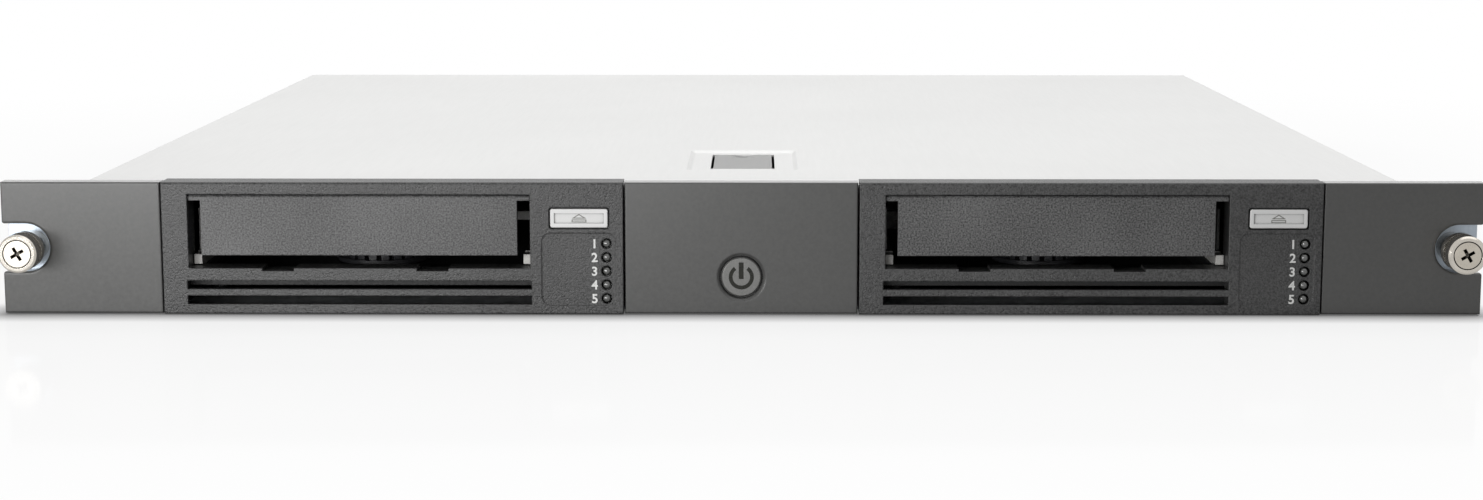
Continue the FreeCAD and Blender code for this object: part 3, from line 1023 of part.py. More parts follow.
# Take-up reel: flanged drum that turns on the base post
def takeup_reel(side, left):
    body = start_body(f"{side}_takeup_reel", f"{left} + reel_x", "front_y + reel_y", "0")
    profile = sketch_on(body, f"{side}_reel_profile", "XZ")
    bore = "post_r + running_fit"
    outline(profile, [
        (bore, "reel_low"), ("reel_r", "reel_low"), ("reel_r", "reel_low + reel_flange"),
        ("reel_hub_r", "reel_low + reel_flange"), ("reel_hub_r", "reel_high - reel_flange"),
        ("reel_r", "reel_high - reel_flange"), ("reel_r", "reel_high"), (bore, "reel_high")])
    revolve(body, f"{side}_reel_turned", profile, "V_Axis")
    return publish(f"{side}_takeup_reel", body)


# Tape head: block with a rounded wear face
def tape_head(side, left):
    body = start_body(f"{side}_tape_head", f"{left} + head_x", "front_y + head_y", "deck_low + deck_gauge")
    plan = sketch_on(body, f"{side}_head_plan", "XY")
    rectangle(plan, "0", "0", "head_w", "head_d")
    pad(body, f"{side}_head_block", plan, "head_top - deck_low - deck_gauge")
    far = value("head_d")
    dressed(body, "Fillet", f"{side}_head_face", "head_round", lambda edge: (
        runs_along(edge, "z") and near(edge.BoundBox.YMin, far)))
    return publish(f"{side}_tape_head", body)


# Main board below the deck, with its largest chip
def main_board(side, left):
    laminate = block(f"{side}_main_laminate", (f"{left} + mother_left", f"{left} + mother_right"), (
        "front_y + mother_front", "front_y + mother_rear"), ("mother_low", "mother_low + board_gauge"))
    top = "mother_low + board_gauge"
    chip = block(f"{side}_main_chip", (f"{left} + chip_x", f"{left} + chip_x + chip_size"), (
        "front_y + chip_y", "front_y + chip_y + chip_size"), (top, f"{top} + chip_high"))
    return publish(f"{side}_main_board", fuse(f"{side}_main_pcb", laminate, chip))


# Host connector in the rear wall
def host_connector(side, left):
    rear = "front_y - bezel_proud + bezel_depth + drive_length"
    right = f"{left} + host_left + host_width"
    shell = block(f"{side}_host_shell", (f"{left} + host_left", right), (
        f"{rear} - drive_wall", f"{rear} + host_depth - drive_wall"), ("host_low", "host_low + host_height"))
    mid = "host_low + host_height / 2"
    room = block(f"{side}_host_room", (
        f"{left} + host_left + host_slot_inset", f"{right} - host_slot_inset"), (
        f"{rear} + host_depth - drive_wall - host_slot_deep", f"{rear} + host_depth"), (
        f"{mid} - host_slot / 2", f"{mid} + host_slot / 2"))
    return publish(f"{side}_host_connector", cut(f"{side}_host", shell, room))


bezel_lefts = {
    "left": "-(centre_width / 2 + seam + bezel_width)",
    "right": "(centre_width / 2 + seam)",
}
for side, left in bezel_lefts.items():
    drive_bezel(side, left)
    cartridge_door(side, left)
    door_spring(side, left)
    eject_button(side, left)
    light_pipe(side, left)
    front_board(side, left)
    drive_base(side, left)
    drive_lid(side, left)
    loader_carriage(side, left)
    spindle_hub(side, left)
    takeup_reel(side, left)
    tape_head(side, left)
    main_board(side, left)
    host_connector(side, left)

document.recompute()
for item in document.Objects:
    if "Invalid" in item.State or "Error" in item.State:
        raise RuntimeError(f"{item.Name} is {item.State}")

os.makedirs("parts", exist_ok=True)
for label, item in nodes.items():
    if item.Shape.isNull() or not item.Shape.isValid():
        raise RuntimeError(f"{label} has no valid shape")
    item.Shape.exportStep(f"parts/{label}.step")
print(len(nodes), "nodes written")
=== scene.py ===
import json
import math

import bmesh
import bpy
from mathutils import Matrix, Vector


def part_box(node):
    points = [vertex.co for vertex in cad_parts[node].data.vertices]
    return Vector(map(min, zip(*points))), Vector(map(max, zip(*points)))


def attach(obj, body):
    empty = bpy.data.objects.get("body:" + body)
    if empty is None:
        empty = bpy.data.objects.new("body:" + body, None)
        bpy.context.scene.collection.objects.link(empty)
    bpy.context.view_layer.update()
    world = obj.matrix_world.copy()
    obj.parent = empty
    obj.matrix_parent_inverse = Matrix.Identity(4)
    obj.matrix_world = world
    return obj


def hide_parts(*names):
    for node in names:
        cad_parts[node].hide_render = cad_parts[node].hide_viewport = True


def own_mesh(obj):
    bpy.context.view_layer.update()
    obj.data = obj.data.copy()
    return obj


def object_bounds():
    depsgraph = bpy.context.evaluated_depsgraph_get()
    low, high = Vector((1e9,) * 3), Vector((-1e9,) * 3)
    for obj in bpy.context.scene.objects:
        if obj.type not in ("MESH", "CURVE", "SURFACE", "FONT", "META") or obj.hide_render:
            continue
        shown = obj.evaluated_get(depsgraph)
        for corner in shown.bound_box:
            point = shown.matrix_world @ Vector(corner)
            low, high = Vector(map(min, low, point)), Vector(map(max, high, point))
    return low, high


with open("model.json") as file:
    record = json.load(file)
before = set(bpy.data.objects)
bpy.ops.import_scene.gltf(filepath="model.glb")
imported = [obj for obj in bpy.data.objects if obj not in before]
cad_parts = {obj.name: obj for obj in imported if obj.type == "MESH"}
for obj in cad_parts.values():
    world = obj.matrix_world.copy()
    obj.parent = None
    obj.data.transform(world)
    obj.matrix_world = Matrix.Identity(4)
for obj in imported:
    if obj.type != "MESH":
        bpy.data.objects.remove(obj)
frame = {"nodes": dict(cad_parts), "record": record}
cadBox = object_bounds()
cadNodes = frame["nodes"]
mm = 0.001
print("frame loaded:", len(cadNodes), "nodes")


def linear(hexColour):
    channels = [int(hexColour[i:i + 2], 16) / 255 for i in (1, 3, 5)]
    curve = [c / 12.92 if c <= 0.04045 else ((c + 0.055) / 1.055) ** 2.4 for c in channels]
    return (*curve, 1.0)


# features per metre for a pattern of that many millimetres
def perMetre(size):
    return 1 / (size * mm)


def addNode(tree, kind, settings=None, links=None):
    node = tree.nodes.new(kind)
    for key, value in (settings or {}).items():
        setattr(node, key, value)
    for key, value in (links or {}).items():
        if isinstance(value, bpy.types.NodeSocket):
            tree.links.new(value, node.inputs[key])
        else:
            node.inputs[key].default_value = value
    return node


def startMaterial(name):
    material = bpy.data.materials.new(name)
    material.use_nodes = True
    tree = material.node_tree
    tree.nodes.clear()
    coords = addNode(tree, "ShaderNodeTexCoord").outputs["Object"]
    shader = addNode(tree, "ShaderNodeBsdfPrincipled")
    addNode(tree, "ShaderNodeOutputMaterial", None, {"Surface": shader.outputs[0]})
    return material, tree, coords, shader


# goes from the first colour to the second as the share goes from 0 to 1
def mixTones(tree, share, first, second):
    mix = addNode(tree, "ShaderNodeMix", {"data_type": "RGBA"}, {0: share, 6: first, 7: second})
    return mix.outputs[2]


# spreads a band of some pattern over the recipe's range of roughness
def glossFrom(tree, pattern, band, recipe):
    gloss = addNode(tree, "ShaderNodeMapRange", None, {
        "Value": pattern, "From Min": band[0], "From Max": band[1],
        "To Min": recipe["roughness"] - recipe["spread"],
        "To Max": recipe["roughness"] + recipe["spread"]})
    return gloss.outputs[0]


quality = {"bevelSamples": 6, "nookSamples": 8}


# fine relief over edges that are worn round
def reliefFrom(tree, height, recipe):
    worn = addNode(tree, "ShaderNodeBevel", {"samples": quality["bevelSamples"]}, {
        "Radius": recipe["edge"] * mm})
    relief = addNode(tree, "ShaderNodeBump", None, {
        "Height": height, "Strength": recipe["relief"], "Distance": recipe["depth"] * mm,
        "Normal": worn.outputs[0]})
    return relief.outputs[0]


def dress(tree, shader, colour, gloss, relief):
    for socket, value in (("Base Color", colour), ("Roughness", gloss), ("Normal", relief)):
        tree.links.new(value, shader.inputs[socket])


# painted shade where little light reaches: the base colour goes to the film tone where ambient occlusion
# finds the space closed, in deep slots, recesses and the roots of fine teeth
def darkenNooks(tree, shader, recipe):
    skin = shader.inputs["Base Color"].links[0].from_socket
    nook = addNode(tree, "ShaderNodeAmbientOcclusion", {"samples": quality["nookSamples"]}, {
        "Distance": recipe["reach"] * mm})
    lit = addNode(tree, "ShaderNodeMapRange", None, {
        "Value": nook.outputs["AO"], "From Min": recipe["shut"], "From Max": recipe["clear"]})
    # the film tone is the colour of the painted shade, not a coating
    colour = mixTones(tree, lit.outputs[0], linear(recipe["film"]), skin)
    tree.links.new(colour, shader.inputs["Base Color"])


# plain shader inputs, and the painted nook shade of the recipes that have them
def addExtras(tree, shader, recipe, inputs):
    for socket, value in {**inputs, **recipe.get("inputs", {})}.items():
        shader.inputs[socket].default_value = value
    if "nookShade" in recipe:
        darkenNooks(tree, shader, recipe["nookShade"])


skinNoise = {"detail": 3.0, "rough": 0.6, "cloudDetail": 2.0, "swing": 0.2, "glossBand": (0.3, 0.7)}


# mottled colour, uneven gloss and a fine relief: the base of every moulded or painted skin here
def grainySkin(name, recipe):
    material, tree, coords, shader = startMaterial(name)
    grain = addNode(tree, "ShaderNodeTexNoise", None, {
        "Vector": coords, "Scale": perMetre(recipe["grain"]), "Detail": skinNoise["detail"],
        "Roughness": skinNoise["rough"]}).outputs["Fac"]
    cloud = addNode(tree, "ShaderNodeTexNoise", None, {
        "Vector": coords, "Scale": perMetre(recipe["cloud"]), "Detail": skinNoise["cloudDetail"]})
    both = addNode(tree, "ShaderNodeMath", {"operation": "MULTIPLY_ADD"}, {
        0: cloud.outputs["Fac"], 1: recipe["cloudShare"], 2: grain})
    swing = recipe.get("swing", skinNoise["swing"])
    share = addNode(tree, "ShaderNodeMapRange", None, {
        "Value": both.outputs[0], "From Min": (0.5 - swing) * (1 + recipe["cloudShare"]),
        "From Max": (0.5 + swing) * (1 + recipe["cloudShare"])})
    colour = mixTones(tree, share.outputs[0], linear(recipe["dark"]), linear(recipe["light"]))
    gloss = glossFrom(tree, grain, skinNoise["glossBand"], recipe)
    dress(tree, shader, colour, gloss, reliefFrom(tree, grain, recipe))
    addExtras(tree, shader, recipe, {"IOR": recipe["ior"], "Specular IOR Level": recipe["specular"]})
    return material


metalNoise = {"detail": 4.0, "rough": 0.65, "patchDetail": 3.0, "band": (0.25, 0.75)}


# rolled or drawn metal: streaks along one axis, over slow patches of lighter and darker plate
def drawnMetal(name, recipe):
    material, tree, coords, shader = startMaterial(name)
    stretch = addNode(tree, "ShaderNodeMapping", None, {"Vector": coords, "Scale": recipe["stretch"]})
    streak = addNode(tree, "ShaderNodeTexNoise", None, {
        "Vector": stretch.outputs[0], "Scale": perMetre(recipe["streak"]), "Detail": metalNoise["detail"],
        "Roughness": metalNoise["rough"]}).outputs["Fac"]
    patch = addNode(tree, "ShaderNodeTexNoise", None, {
        "Vector": coords, "Scale": perMetre(recipe["patch"]), "Detail": metalNoise["patchDetail"]})
    blend = addNode(tree, "ShaderNodeMath", {"operation": "MULTIPLY_ADD"}, {
        0: patch.outputs["Fac"], 1: recipe["patchShare"], 2: streak}).outputs[0]
    low, high = metalNoise["band"]
    share = addNode(tree, "ShaderNodeMapRange", None, {
        "Value": blend, "From Min": low * (1 + recipe["patchShare"]),
        "From Max": high * (1 + recipe["patchShare"])})
    colour = mixTones(tree, share.outputs[0], linear(recipe["dark"]), linear(recipe["light"]))
    gloss = glossFrom(tree, blend, (low, high + recipe["patchShare"]), recipe)
    dress(tree, shader, colour, gloss, reliefFrom(tree, streak, recipe))
    addExtras(tree, shader, recipe, {"Metallic": recipe["metallic"]})
    return material


# satin stove paint on steel: soft broad highlight, faint orange peel, painted shade in the seams
fasciaPaint = grainySkin("satinStovePaint", {
    "edge": 0.7, "dark": "#4d4d4c", "light": "#555554", "grain": 1.2, "cloud": 60, "cloudShare": 0.5,
    "roughness": 0.31, "spread": 0.03, "relief": 0.03, "depth": 0.03, "ior": 1.5, "specular": 0.44,
    "nookShade": {"reach": 3.0, "shut": 0.15, "clear": 0.5, "film": "#080808"}})

# spark-textured ABS moulding: dry pebbled grain, drawn at twice its 0.3 mm so that it shows; painted shade
# inside the slot, the vents and the holes
bezelPlastic = grainySkin("sparkTexturedAbs", {
    "edge": 0.6, "swing": 0.12, "dark": "#060606", "light": "#494949", "grain": 0.6, "cloud": 40,
    "cloudShare": 0.2, "roughness": 0.38, "spread": 0.12, "relief": 0.8, "depth": 0.25, "ior": 1.53,
    "specular": 0.42, "nookShade": {"reach": 4.0, "shut": 0.15, "clear": 0.5, "film": "#080808"}})

# the door is moulded in the same ABS from a finer tool, so a little smoother and paler
doorPlastic = grainySkin("fineTexturedAbs", {
    "edge": 0.25, "swing": 0.12, "dark": "#2b2b2b", "light": "#7b7b7b", "grain": 0.55, "cloud": 30,
    "cloudShare": 0.2, "roughness": 0.5, "spread": 0.1, "relief": 0.45, "depth": 0.15, "ior": 1.53,
    "specular": 0.3})

# pale ABS key cap: satin, almost even, with painted shade in its sunk panel and in the gap round it
palePlastic = grainySkin("paleSatinAbs", {
    "edge": 0.2, "dark": "#efefee", "light": "#f4f4f3", "grain": 0.5, "cloud": 8, "cloudShare": 0.6,
    "roughness": 0.42, "spread": 0.05, "relief": 0.1, "depth": 0.04, "ior": 1.53, "specular": 0.4,
    "nookShade": {"reach": 2.5, "shut": 0.05, "clear": 0.94, "film": "#151515"}})

# white acetal slider: waxy, soft-edged sheen, painted shade where it stands deep in the drive
whiteAcetal = grainySkin("whiteAcetal", {
    "edge": 0.3, "dark": "#dcdad4", "light": "#e6e5e1", "grain": 0.8, "cloud": 12, "cloudShare": 0.8,
    "roughness": 0.38, "spread": 0.06, "relief": 0.08, "depth": 0.04, "ior": 1.48, "specular": 0.5,
    "nookShade": {"reach": 100.0, "shut": 0.08, "clear": 0.3, "film": "#141414"}})

# glass-filled black PBT: deep black with a dull fibre bloom
blackPbt = grainySkin("glassFilledPbt", {
    "edge": 0.25, "dark": "#161617", "light": "#242426", "grain": 0.5, "cloud": 10, "cloudShare": 0.7,
    "roughness": 0.5, "spread": 0.1, "relief": 0.2, "depth": 0.05, "ior": 1.57, "specular": 0.45})

# grey polycarbonate of hub and reel: smooth moulding, faint flow marks
hubPlastic = grainySkin("greyPolycarbonate", {
    "edge": 0.2, "dark": "#2f3032", "light": "#3a3b3e", "grain": 1.5, "cloud": 14, "cloudShare": 1.2,
    "roughness": 0.34, "spread": 0.05, "relief": 0.06, "depth": 0.05, "ior": 1.58, "specular": 0.5})

# silver-grey stove paint on the latch plate
latchPaint = grainySkin("silverStovePaint", {
    "edge": 0.3, "dark": "#b2b2b1", "light": "#bcbcbb", "grain": 0.9, "cloud": 12, "cloudShare": 0.5,
    "roughness": 0.44, "spread": 0.06, "relief": 0.15, "depth": 0.05, "ior": 1.5, "specular": 0.4})

# dark epoxy coat over a die casting: slightly sandy; its near-black tone is partly painted shade for the
# dark inside seen through the vents and slot, and its nooks get painted shade too
castingCoat = grainySkin("epoxyCoatedCasting", {
    "edge": 0.4, "dark": "#0f1011", "light": "#17181a", "grain": 1.0, "cloud": 25, "cloudShare": 0.6,
    "roughness": 0.58, "spread": 0.08, "relief": 0.4, "depth": 0.12, "ior": 1.55, "specular": 0.4,
    "nookShade": {"reach": 15.0, "shut": 0.2, "clear": 0.7, "film": "#050505"}})

# ground ceramic of the head: dense grey, nearly polished
headCeramic = grainySkin("groundCeramic", {
    "edge": 0.2, "dark": "#5b5955", "light": "#6e6c67", "grain": 0.3, "cloud": 6, "cloudShare": 0.4,
    "roughness": 0.2, "spread": 0.06, "relief": 0.05, "depth": 0.02, "ior": 2.0, "specular": 0.5})

# grey polycarbonate light tips, unlit: dim body under a bright skin
lightPipe = grainySkin("frostedPolycarbonate", {
    "edge": 0.15, "dark": "#464745", "light": "#545553", "grain": 0.25, "cloud": 3, "cloudShare": 0.4,
    "roughness": 0.2, "spread": 0.05, "relief": 0.05, "depth": 0.02, "ior": 1.58, "specular": 0.6,
    "inputs": {"Subsurface Weight": 0.15, "Subsurface Radius": (0.4 * mm, 0.4 * mm, 0.4 * mm),
               "Coat Weight": 0.7}})

# smoked green acrylic window: near black, with only a faint gloss
smokedLens = grainySkin("smokedAcrylic", {
    "edge": 0.1, "dark": "#191a15", "light": "#22231c", "grain": 0.6, "cloud": 4, "cloudShare": 0.4,
    "roughness": 0.3, "spread": 0.04, "relief": 0.03, "depth": 0.02, "ior": 1.49, "specular": 0.2,
    "inputs": {"Coat Weight": 0.08}})

# screen ink of the figures and the grey film of the eject signs, matt films that differ in tone only
inkFilm = {
    "edge": 0.02, "grain": 0.3, "cloud": 3, "cloudShare": 0.3, "roughness": 0.6, "spread": 0.05,
    "relief": 0.1, "depth": 0.01, "ior": 1.5, "specular": 0.3}
whiteInk = grainySkin("whiteScreenInk", {**inkFilm, "dark": "#f2f2f0", "light": "#f8f8f6"})
# grey film: painted shade, standing for the shaded edges of the moulded eject sign
greySignShade = grainySkin("greyPadInk", {**inkFilm, "dark": "#84847f", "light": "#8f8f8b"})

# satin plated cover sheet: pale, faint rolling streaks front to back
coverSheet = drawnMetal("satinPlatedSheet", {
    "edge": 0.35, "dark": "#dadad9", "light": "#e2e2e1", "streak": 1.6, "stretch": (1.0, 0.05, 1.0),
    "patch": 90, "patchShare": 0.8, "roughness": 0.5, "spread": 0.05, "relief": 0.05, "depth": 0.03,
    "metallic": 0.6})

# bright zinc plate with its thin blue passivation
zincPlate = drawnMetal("brightZincPlate", {
    "edge": 0.25, "dark": "#858e98", "light": "#a0a8b0", "streak": 0.8, "stretch": (1.0, 1.0, 0.12),
    "patch": 9, "patchShare": 1.0, "roughness": 0.38, "spread": 0.08, "relief": 0.08, "depth": 0.03,
    "metallic": 1.0})

# zinc-plated drive lids: cooler grey, streaked along the drive
driveSheet = drawnMetal("platedLidSheet", {
    "edge": 0.3, "dark": "#8a8d90", "light": "#a3a5a7", "streak": 1.0, "stretch": (1.0, 0.06, 1.0),
    "patch": 40, "patchShare": 0.7, "roughness": 0.44, "spread": 0.08, "relief": 0.08, "depth": 0.04,
    "metallic": 1.0})

# bright nickel of the turned knobs: warm, tight highlights, painted shade between the teeth and in the ring
# gap
nickel = drawnMetal("brightNickel", {
    "edge": 0.12, "dark": "#aca79f", "light": "#cbc6bd", "streak": 0.35, "stretch": (1.0, 1.0, 1.0),
    "patch": 4, "patchShare": 0.6, "roughness": 0.2, "spread": 0.06, "relief": 0.08, "depth": 0.02,
    "metallic": 1.0, "nookShade": {"reach": 1.5, "shut": 0.35, "clear": 0.85, "film": "#0d0c0a"}})

# zinc-plated screws: a shade duller than the knobs, with painted shade in the cross recesses
screwSteel = drawnMetal("zincScrewSteel", {
    "edge": 0.12, "dark": "#a8a297", "light": "#c2bcb1", "streak": 0.4, "stretch": (1.0, 1.0, 1.0),
    "patch": 3, "patchShare": 0.6, "roughness": 0.3, "spread": 0.07, "relief": 0.08, "depth": 0.02,
    "metallic": 1.0, "nookShade": {"reach": 3.0, "shut": 0.5, "clear": 0.95, "film": "#0a0806"}})

# spring strip: bright-rolled steel, streaked along the leaf
springSteel = drawnMetal("rolledSpringStrip", {
    "edge": 0.1, "dark": "#86888b", "light": "#a6a8ab", "streak": 0.3, "stretch": (1.0, 0.1, 1.0),
    "patch": 5, "patchShare": 0.5, "roughness": 0.28, "spread": 0.06, "relief": 0.06, "depth": 0.02,
    "metallic": 1.0})

# nickel-plated port shells: drawn sheet, a little soft
portShell = drawnMetal("platedPortShell", {
    "edge": 0.2, "dark": "#acaca9", "light": "#c6c6c3", "streak": 0.5, "stretch": (1.0, 0.15, 1.0),
    "patch": 6, "patchShare": 0.6, "roughness": 0.3, "spread": 0.07, "relief": 0.08, "depth": 0.02,
    "metallic": 1.0})

# satin metallised cap of the power key: half metal, finely mottled, with painted shade in its gaps and round
# the sign
powerCap = drawnMetal("satinMetallisedCap", {
    "edge": 0.35, "dark": "#5a5a59", "light": "#727270", "streak": 0.35, "stretch": (1.0, 1.0, 1.0),
    "patch": 5, "patchShare": 0.4, "roughness": 0.4, "spread": 0.06, "relief": 0.1, "depth": 0.02,
    "metallic": 0.55, "nookShade": {"reach": 1.5, "shut": 0.25, "clear": 0.6, "film": "#0a0a0a"}})

# gold flash on contacts
goldFlash = drawnMetal("goldFlash", {
    "edge": 0.05, "dark": "#b98f3c", "light": "#d6b05a", "streak": 0.3, "stretch": (1.0, 0.2, 1.0),
    "patch": 3, "patchShare": 0.5, "roughness": 0.25, "spread": 0.05, "relief": 0.05, "depth": 0.01,
    "metallic": 1.0})


# galvanised sheet: frost-like spangle of crystals, each with its own tone and gloss
def galvanisedSheet():
    recipe = {
        "spangle": 4.0, "warp": 3.0, "warpDetail": 2.0, "bend": 3.0, "dark": "#a2a6a9", "light": "#b8bbbd",
        "roughness": 0.56, "spread": 0.06, "relief": 0.06, "depth": 0.05, "metallic": 1.0}
    material, tree, coords, shader = startMaterial("galvanisedSheet")
    warp = addNode(tree, "ShaderNodeTexNoise", None, {
        "Vector": coords, "Scale": perMetre(recipe["warp"]), "Detail": recipe["warpDetail"]})
    bent = addNode(tree, "ShaderNodeVectorMath", {"operation": "MULTIPLY_ADD"}, {
        0: warp.outputs["Color"], 1: [recipe["bend"] * mm] * 3, 2: coords})
    crystals = addNode(tree, "ShaderNodeTexVoronoi", {"feature": "F1"}, {
        "Vector": bent.outputs[0], "Scale": perMetre(recipe["spangle"]), "Randomness": 1.0})
    tone = addNode(tree, "ShaderNodeSeparateColor", None, {"Color": crystals.outputs["Color"]})
    colour = mixTones(tree, tone.outputs[0], linear(recipe["dark"]), linear(recipe["light"]))
    gloss = glossFrom(tree, tone.outputs[1], (0.0, 1.0), recipe)
    relief = addNode(tree, "ShaderNodeBump", None, {
        "Height": crystals.outputs["Distance"], "Strength": recipe["relief"],
        "Distance": recipe["depth"] * mm})
    dress(tree, shader, colour, gloss, relief.outputs[0])
    addExtras(tree, shader, recipe, {"Metallic": recipe["metallic"]})
    return material


# FR-4 board under green solder mask: darker ground between raised tracks, and painted shade where parts
# stand close over it
def solderMask():
    recipe = {
        "track": 2.4, "line": (0.05, 0.12), "mask": "#17492d", "copper": "#2c6b43", "roughness": 0.32,
        "relief": 0.3, "depth": 0.04,
        "nookShade": {"reach": 20.0, "shut": 0.3, "clear": 0.8, "film": "#020303"}}
    material, tree, coords, shader = startMaterial("greenSolderMask")
    tracks = addNode(tree, "ShaderNodeTexVoronoi", {"feature": "DISTANCE_TO_EDGE"}, {
        "Vector": coords, "Scale": perMetre(recipe["track"])})
    line = addNode(tree, "ShaderNodeMapRange", None, {
        "Value": tracks.outputs["Distance"], "From Min": recipe["line"][0], "From Max": recipe["line"][1],
        "To Min": 1.0, "To Max": 0.0}).outputs[0]
    colour = mixTones(tree, line, linear(recipe["mask"]), linear(recipe["copper"]))
    relief = addNode(tree, "ShaderNodeBump", None, {
        "Height": line, "Strength": recipe["relief"], "Distance": recipe["depth"] * mm})
    tree.links.new(colour, shader.inputs["Base Color"])
    tree.links.new(relief.outputs[0], shader.inputs["Normal"])
    addExtras(tree, shader, recipe, {"Roughness": recipe["roughness"]})
    return material


finishes = {
    "zinc_sheet": galvanisedSheet(), "zinc_plate": zincPlate, "cover_sheet": coverSheet,
    "fascia_paint": fasciaPaint, "bezel_plastic": bezelPlastic, "door_plastic": doorPlastic,
    "pale_plastic": palePlastic, "white_plastic": whiteAcetal, "black_plastic": blackPbt,
    "hub_plastic": hubPlastic, "power_cap": powerCap, "dark_lens": smokedLens, "light_pipe": lightPipe,
    "latch_grey": latchPaint, "nickel": nickel, "screw_steel": screwSteel, "spring_steel": springSteel,
    "drive_casting": castingCoat, "drive_sheet": driveSheet, "circuit_board": solderMask(),
    "head_ceramic": headCeramic, "port_shell": portShell,
}
for subpart in frame["record"]["subparts"]:
    part = cadNodes[subpart["node"]]
    if not part.data.materials:
        part.data.materials.append(None)
    for place in part.material_slots:
        place.material = finishes[subpart["material_slot"]]


# a finished mesh becomes a piece on its body
def addPiece(name, mesh, material, body):
    piece = bpy.data.objects.new(name, mesh)
    bpy.context.scene.collection.objects.link(piece)
    mesh.materials.clear()
    mesh.materials.append(material)
    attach(piece, body)
    return piece


weld = 1e-7  # metres within which two corners are one


def meshFrom(name, shape):
    bmesh.ops.remove_doubles(shape, verts=shape.verts, dist=weld)
    bmesh.ops.recalc_face_normals(shape, faces=shape.faces)
    mesh = bpy.data.meshes.new(name)
    shape.to_mesh(mesh)
    shape.free()
    return mesh


# plain mesh of what an object's modifiers or letters come to
def settledMesh(item):
    graph = bpy.context.evaluated_depsgraph_get()
    return bpy.data.meshes.new_from_object(item.evaluated_get(graph))


# geometry tree with named inputs; grown on a seed mesh and kept as a plain mesh
def startTree(name, inputs):
    tree = bpy.data.node_groups.new(name, "GeometryNodeTree")
    tree.interface.new_socket("Geometry", in_out="OUTPUT", socket_type="NodeSocketGeometry")
    for label, kind in inputs.items():
        tree.interface.new_socket(label, in_out="INPUT", socket_type=f"NodeSocket{kind}")
    start = addNode(tree, "NodeGroupInput")
    return tree, start.outputs


def endTree(tree, geometry, material):
    real = addNode(tree, "GeometryNodeRealizeInstances", None, {0: geometry})
    painted = addNode(tree, "GeometryNodeSetMaterial", None, {
        "Geometry": real.outputs[0], "Material": material})
    addNode(tree, "NodeGroupOutput", None, {0: painted.outputs[0]})


def grow(name, tree, values, body, points=()):
    seed = bpy.data.meshes.new(name)
    seed.from_pydata([tuple(p) for p in points], [], [])
    piece = bpy.data.objects.new(name, seed)
    bpy.context.scene.collection.objects.link(piece)
    modifier = piece.modifiers.new("grow", "NODES")
    modifier.node_group = tree
    for item in tree.interface.items_tree:
        if item.in_out == "INPUT" and item.name in values:
            modifier[item.identifier] = values[item.name]
    grown = settledMesh(piece)
    piece.modifiers.clear()
    piece.data = grown
    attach(piece, body)
    return piece


# straight knurl: ridges set round a circle, each a diamond bar half sunk in the knob
knurl = {"teeth": 46, "ridge": 0.42, "tip": 6.2, "start": 1.25, "end": 6.35}


def knurlTree():
    tree, given = startTree("knurlBand", {
        "Radius": "Float", "Ridge": "Float", "Length": "Float", "Teeth": "Int", "Centre": "Vector",
        "Metal": "Material"})
    ring = addNode(tree, "GeometryNodeMeshCircle", None, {
        "Vertices": given["Teeth"], "Radius": given["Radius"]})
    ridge = addNode(tree, "GeometryNodeMeshCylinder", None, {
        "Vertices": 4, "Radius": given["Ridge"], "Depth": given["Length"]})
    spot = addNode(tree, "GeometryNodeInputPosition")
    aim = addNode(tree, "FunctionNodeAlignRotationToVector", {"axis": "X", "pivot_axis": "Z"}, {
        "Vector": spot.outputs[0]})
    teeth = addNode(tree, "GeometryNodeInstanceOnPoints", None, {
        "Points": ring.outputs[0], "Instance": ridge.outputs[0], "Rotation": aim.outputs[0]})
    laid = addNode(tree, "GeometryNodeTransform", None, {
        "Geometry": teeth.outputs[0], "Translation": given["Centre"], "Rotation": (math.pi / 2, 0, 0)})
    endTree(tree, laid.outputs[0], given["Metal"])
    return tree


knurlGroup = knurlTree()
for side in ("left", "right"):
    low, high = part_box(f"{side}_thumb_knob")
    middle = (low + high) / 2
    middle.y = low.y + (knurl["start"] + knurl["end"]) / 2 * mm
    grow(f"{side}_knob_knurl", knurlGroup, {
        "Radius": (knurl["tip"] - knurl["ridge"]) * mm, "Ridge": knurl["ridge"] * mm,
        "Length": (knurl["end"] - knurl["start"]) * mm, "Teeth": knurl["teeth"], "Centre": middle,
        "Metal": nickel}, f"{side}_thumbscrew")
print("knurls cut")

# machine thread on the free end of each captive screw, a ridge wound on the stud
thread = {"pitch": 1.0, "steps": 40, "ridge": 0.34, "radius": 2.86, "length": 4.6, "tipBack": 0.7}


def threadTree():
    tree, given = startTree("screwThread", {
        "Radius": "Float", "Ridge": "Float", "Length": "Float", "Turns": "Float", "Start": "Vector",
        "Metal": "Material"})
    path = addNode(tree, "GeometryNodeCurveSpiral", None, {
        "Resolution": thread["steps"], "Rotations": given["Turns"], "Start Radius": given["Radius"],
        "End Radius": given["Radius"], "Height": given["Length"]})
    profile = addNode(tree, "GeometryNodeCurvePrimitiveCircle", {"mode": "RADIUS"}, {
        "Resolution": 4, "Radius": given["Ridge"]})
    ridge = addNode(tree, "GeometryNodeCurveToMesh", None, {
        "Curve": path.outputs[0], "Profile Curve": profile.outputs[0], "Fill Caps": True})
    laid = addNode(tree, "GeometryNodeTransform", None, {
        "Geometry": ridge.outputs[0], "Translation": given["Start"], "Rotation": (math.pi / 2, 0, 0)})
    endTree(tree, laid.outputs[0], given["Metal"])
    return tree


threadGroup = threadTree()
for side in ("left", "right"):
    low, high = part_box(f"{side}_captive_screw")
    middle = (low + high) / 2
    grow(f"{side}_stud_thread", threadGroup, {
        "Radius": thread["radius"] * mm, "Ridge": thread["ridge"] * mm, "Length": thread["length"] * mm,
        "Turns": thread["length"] / thread["pitch"],
        "Start": (middle.x, high.y - thread["tipBack"] * mm, middle.z), "Metal": screwSteel},
        f"{side}_thumbscrew")
print("threads wound")

# five domed tips in the light field of each drive
lamp = {
    "count": 5, "left": 144.9, "low": 5.2, "pitch": 4.53, "radius": 1.25, "rise": 0.95, "sink": 0.95,
    "segments": 32, "rings": 16}


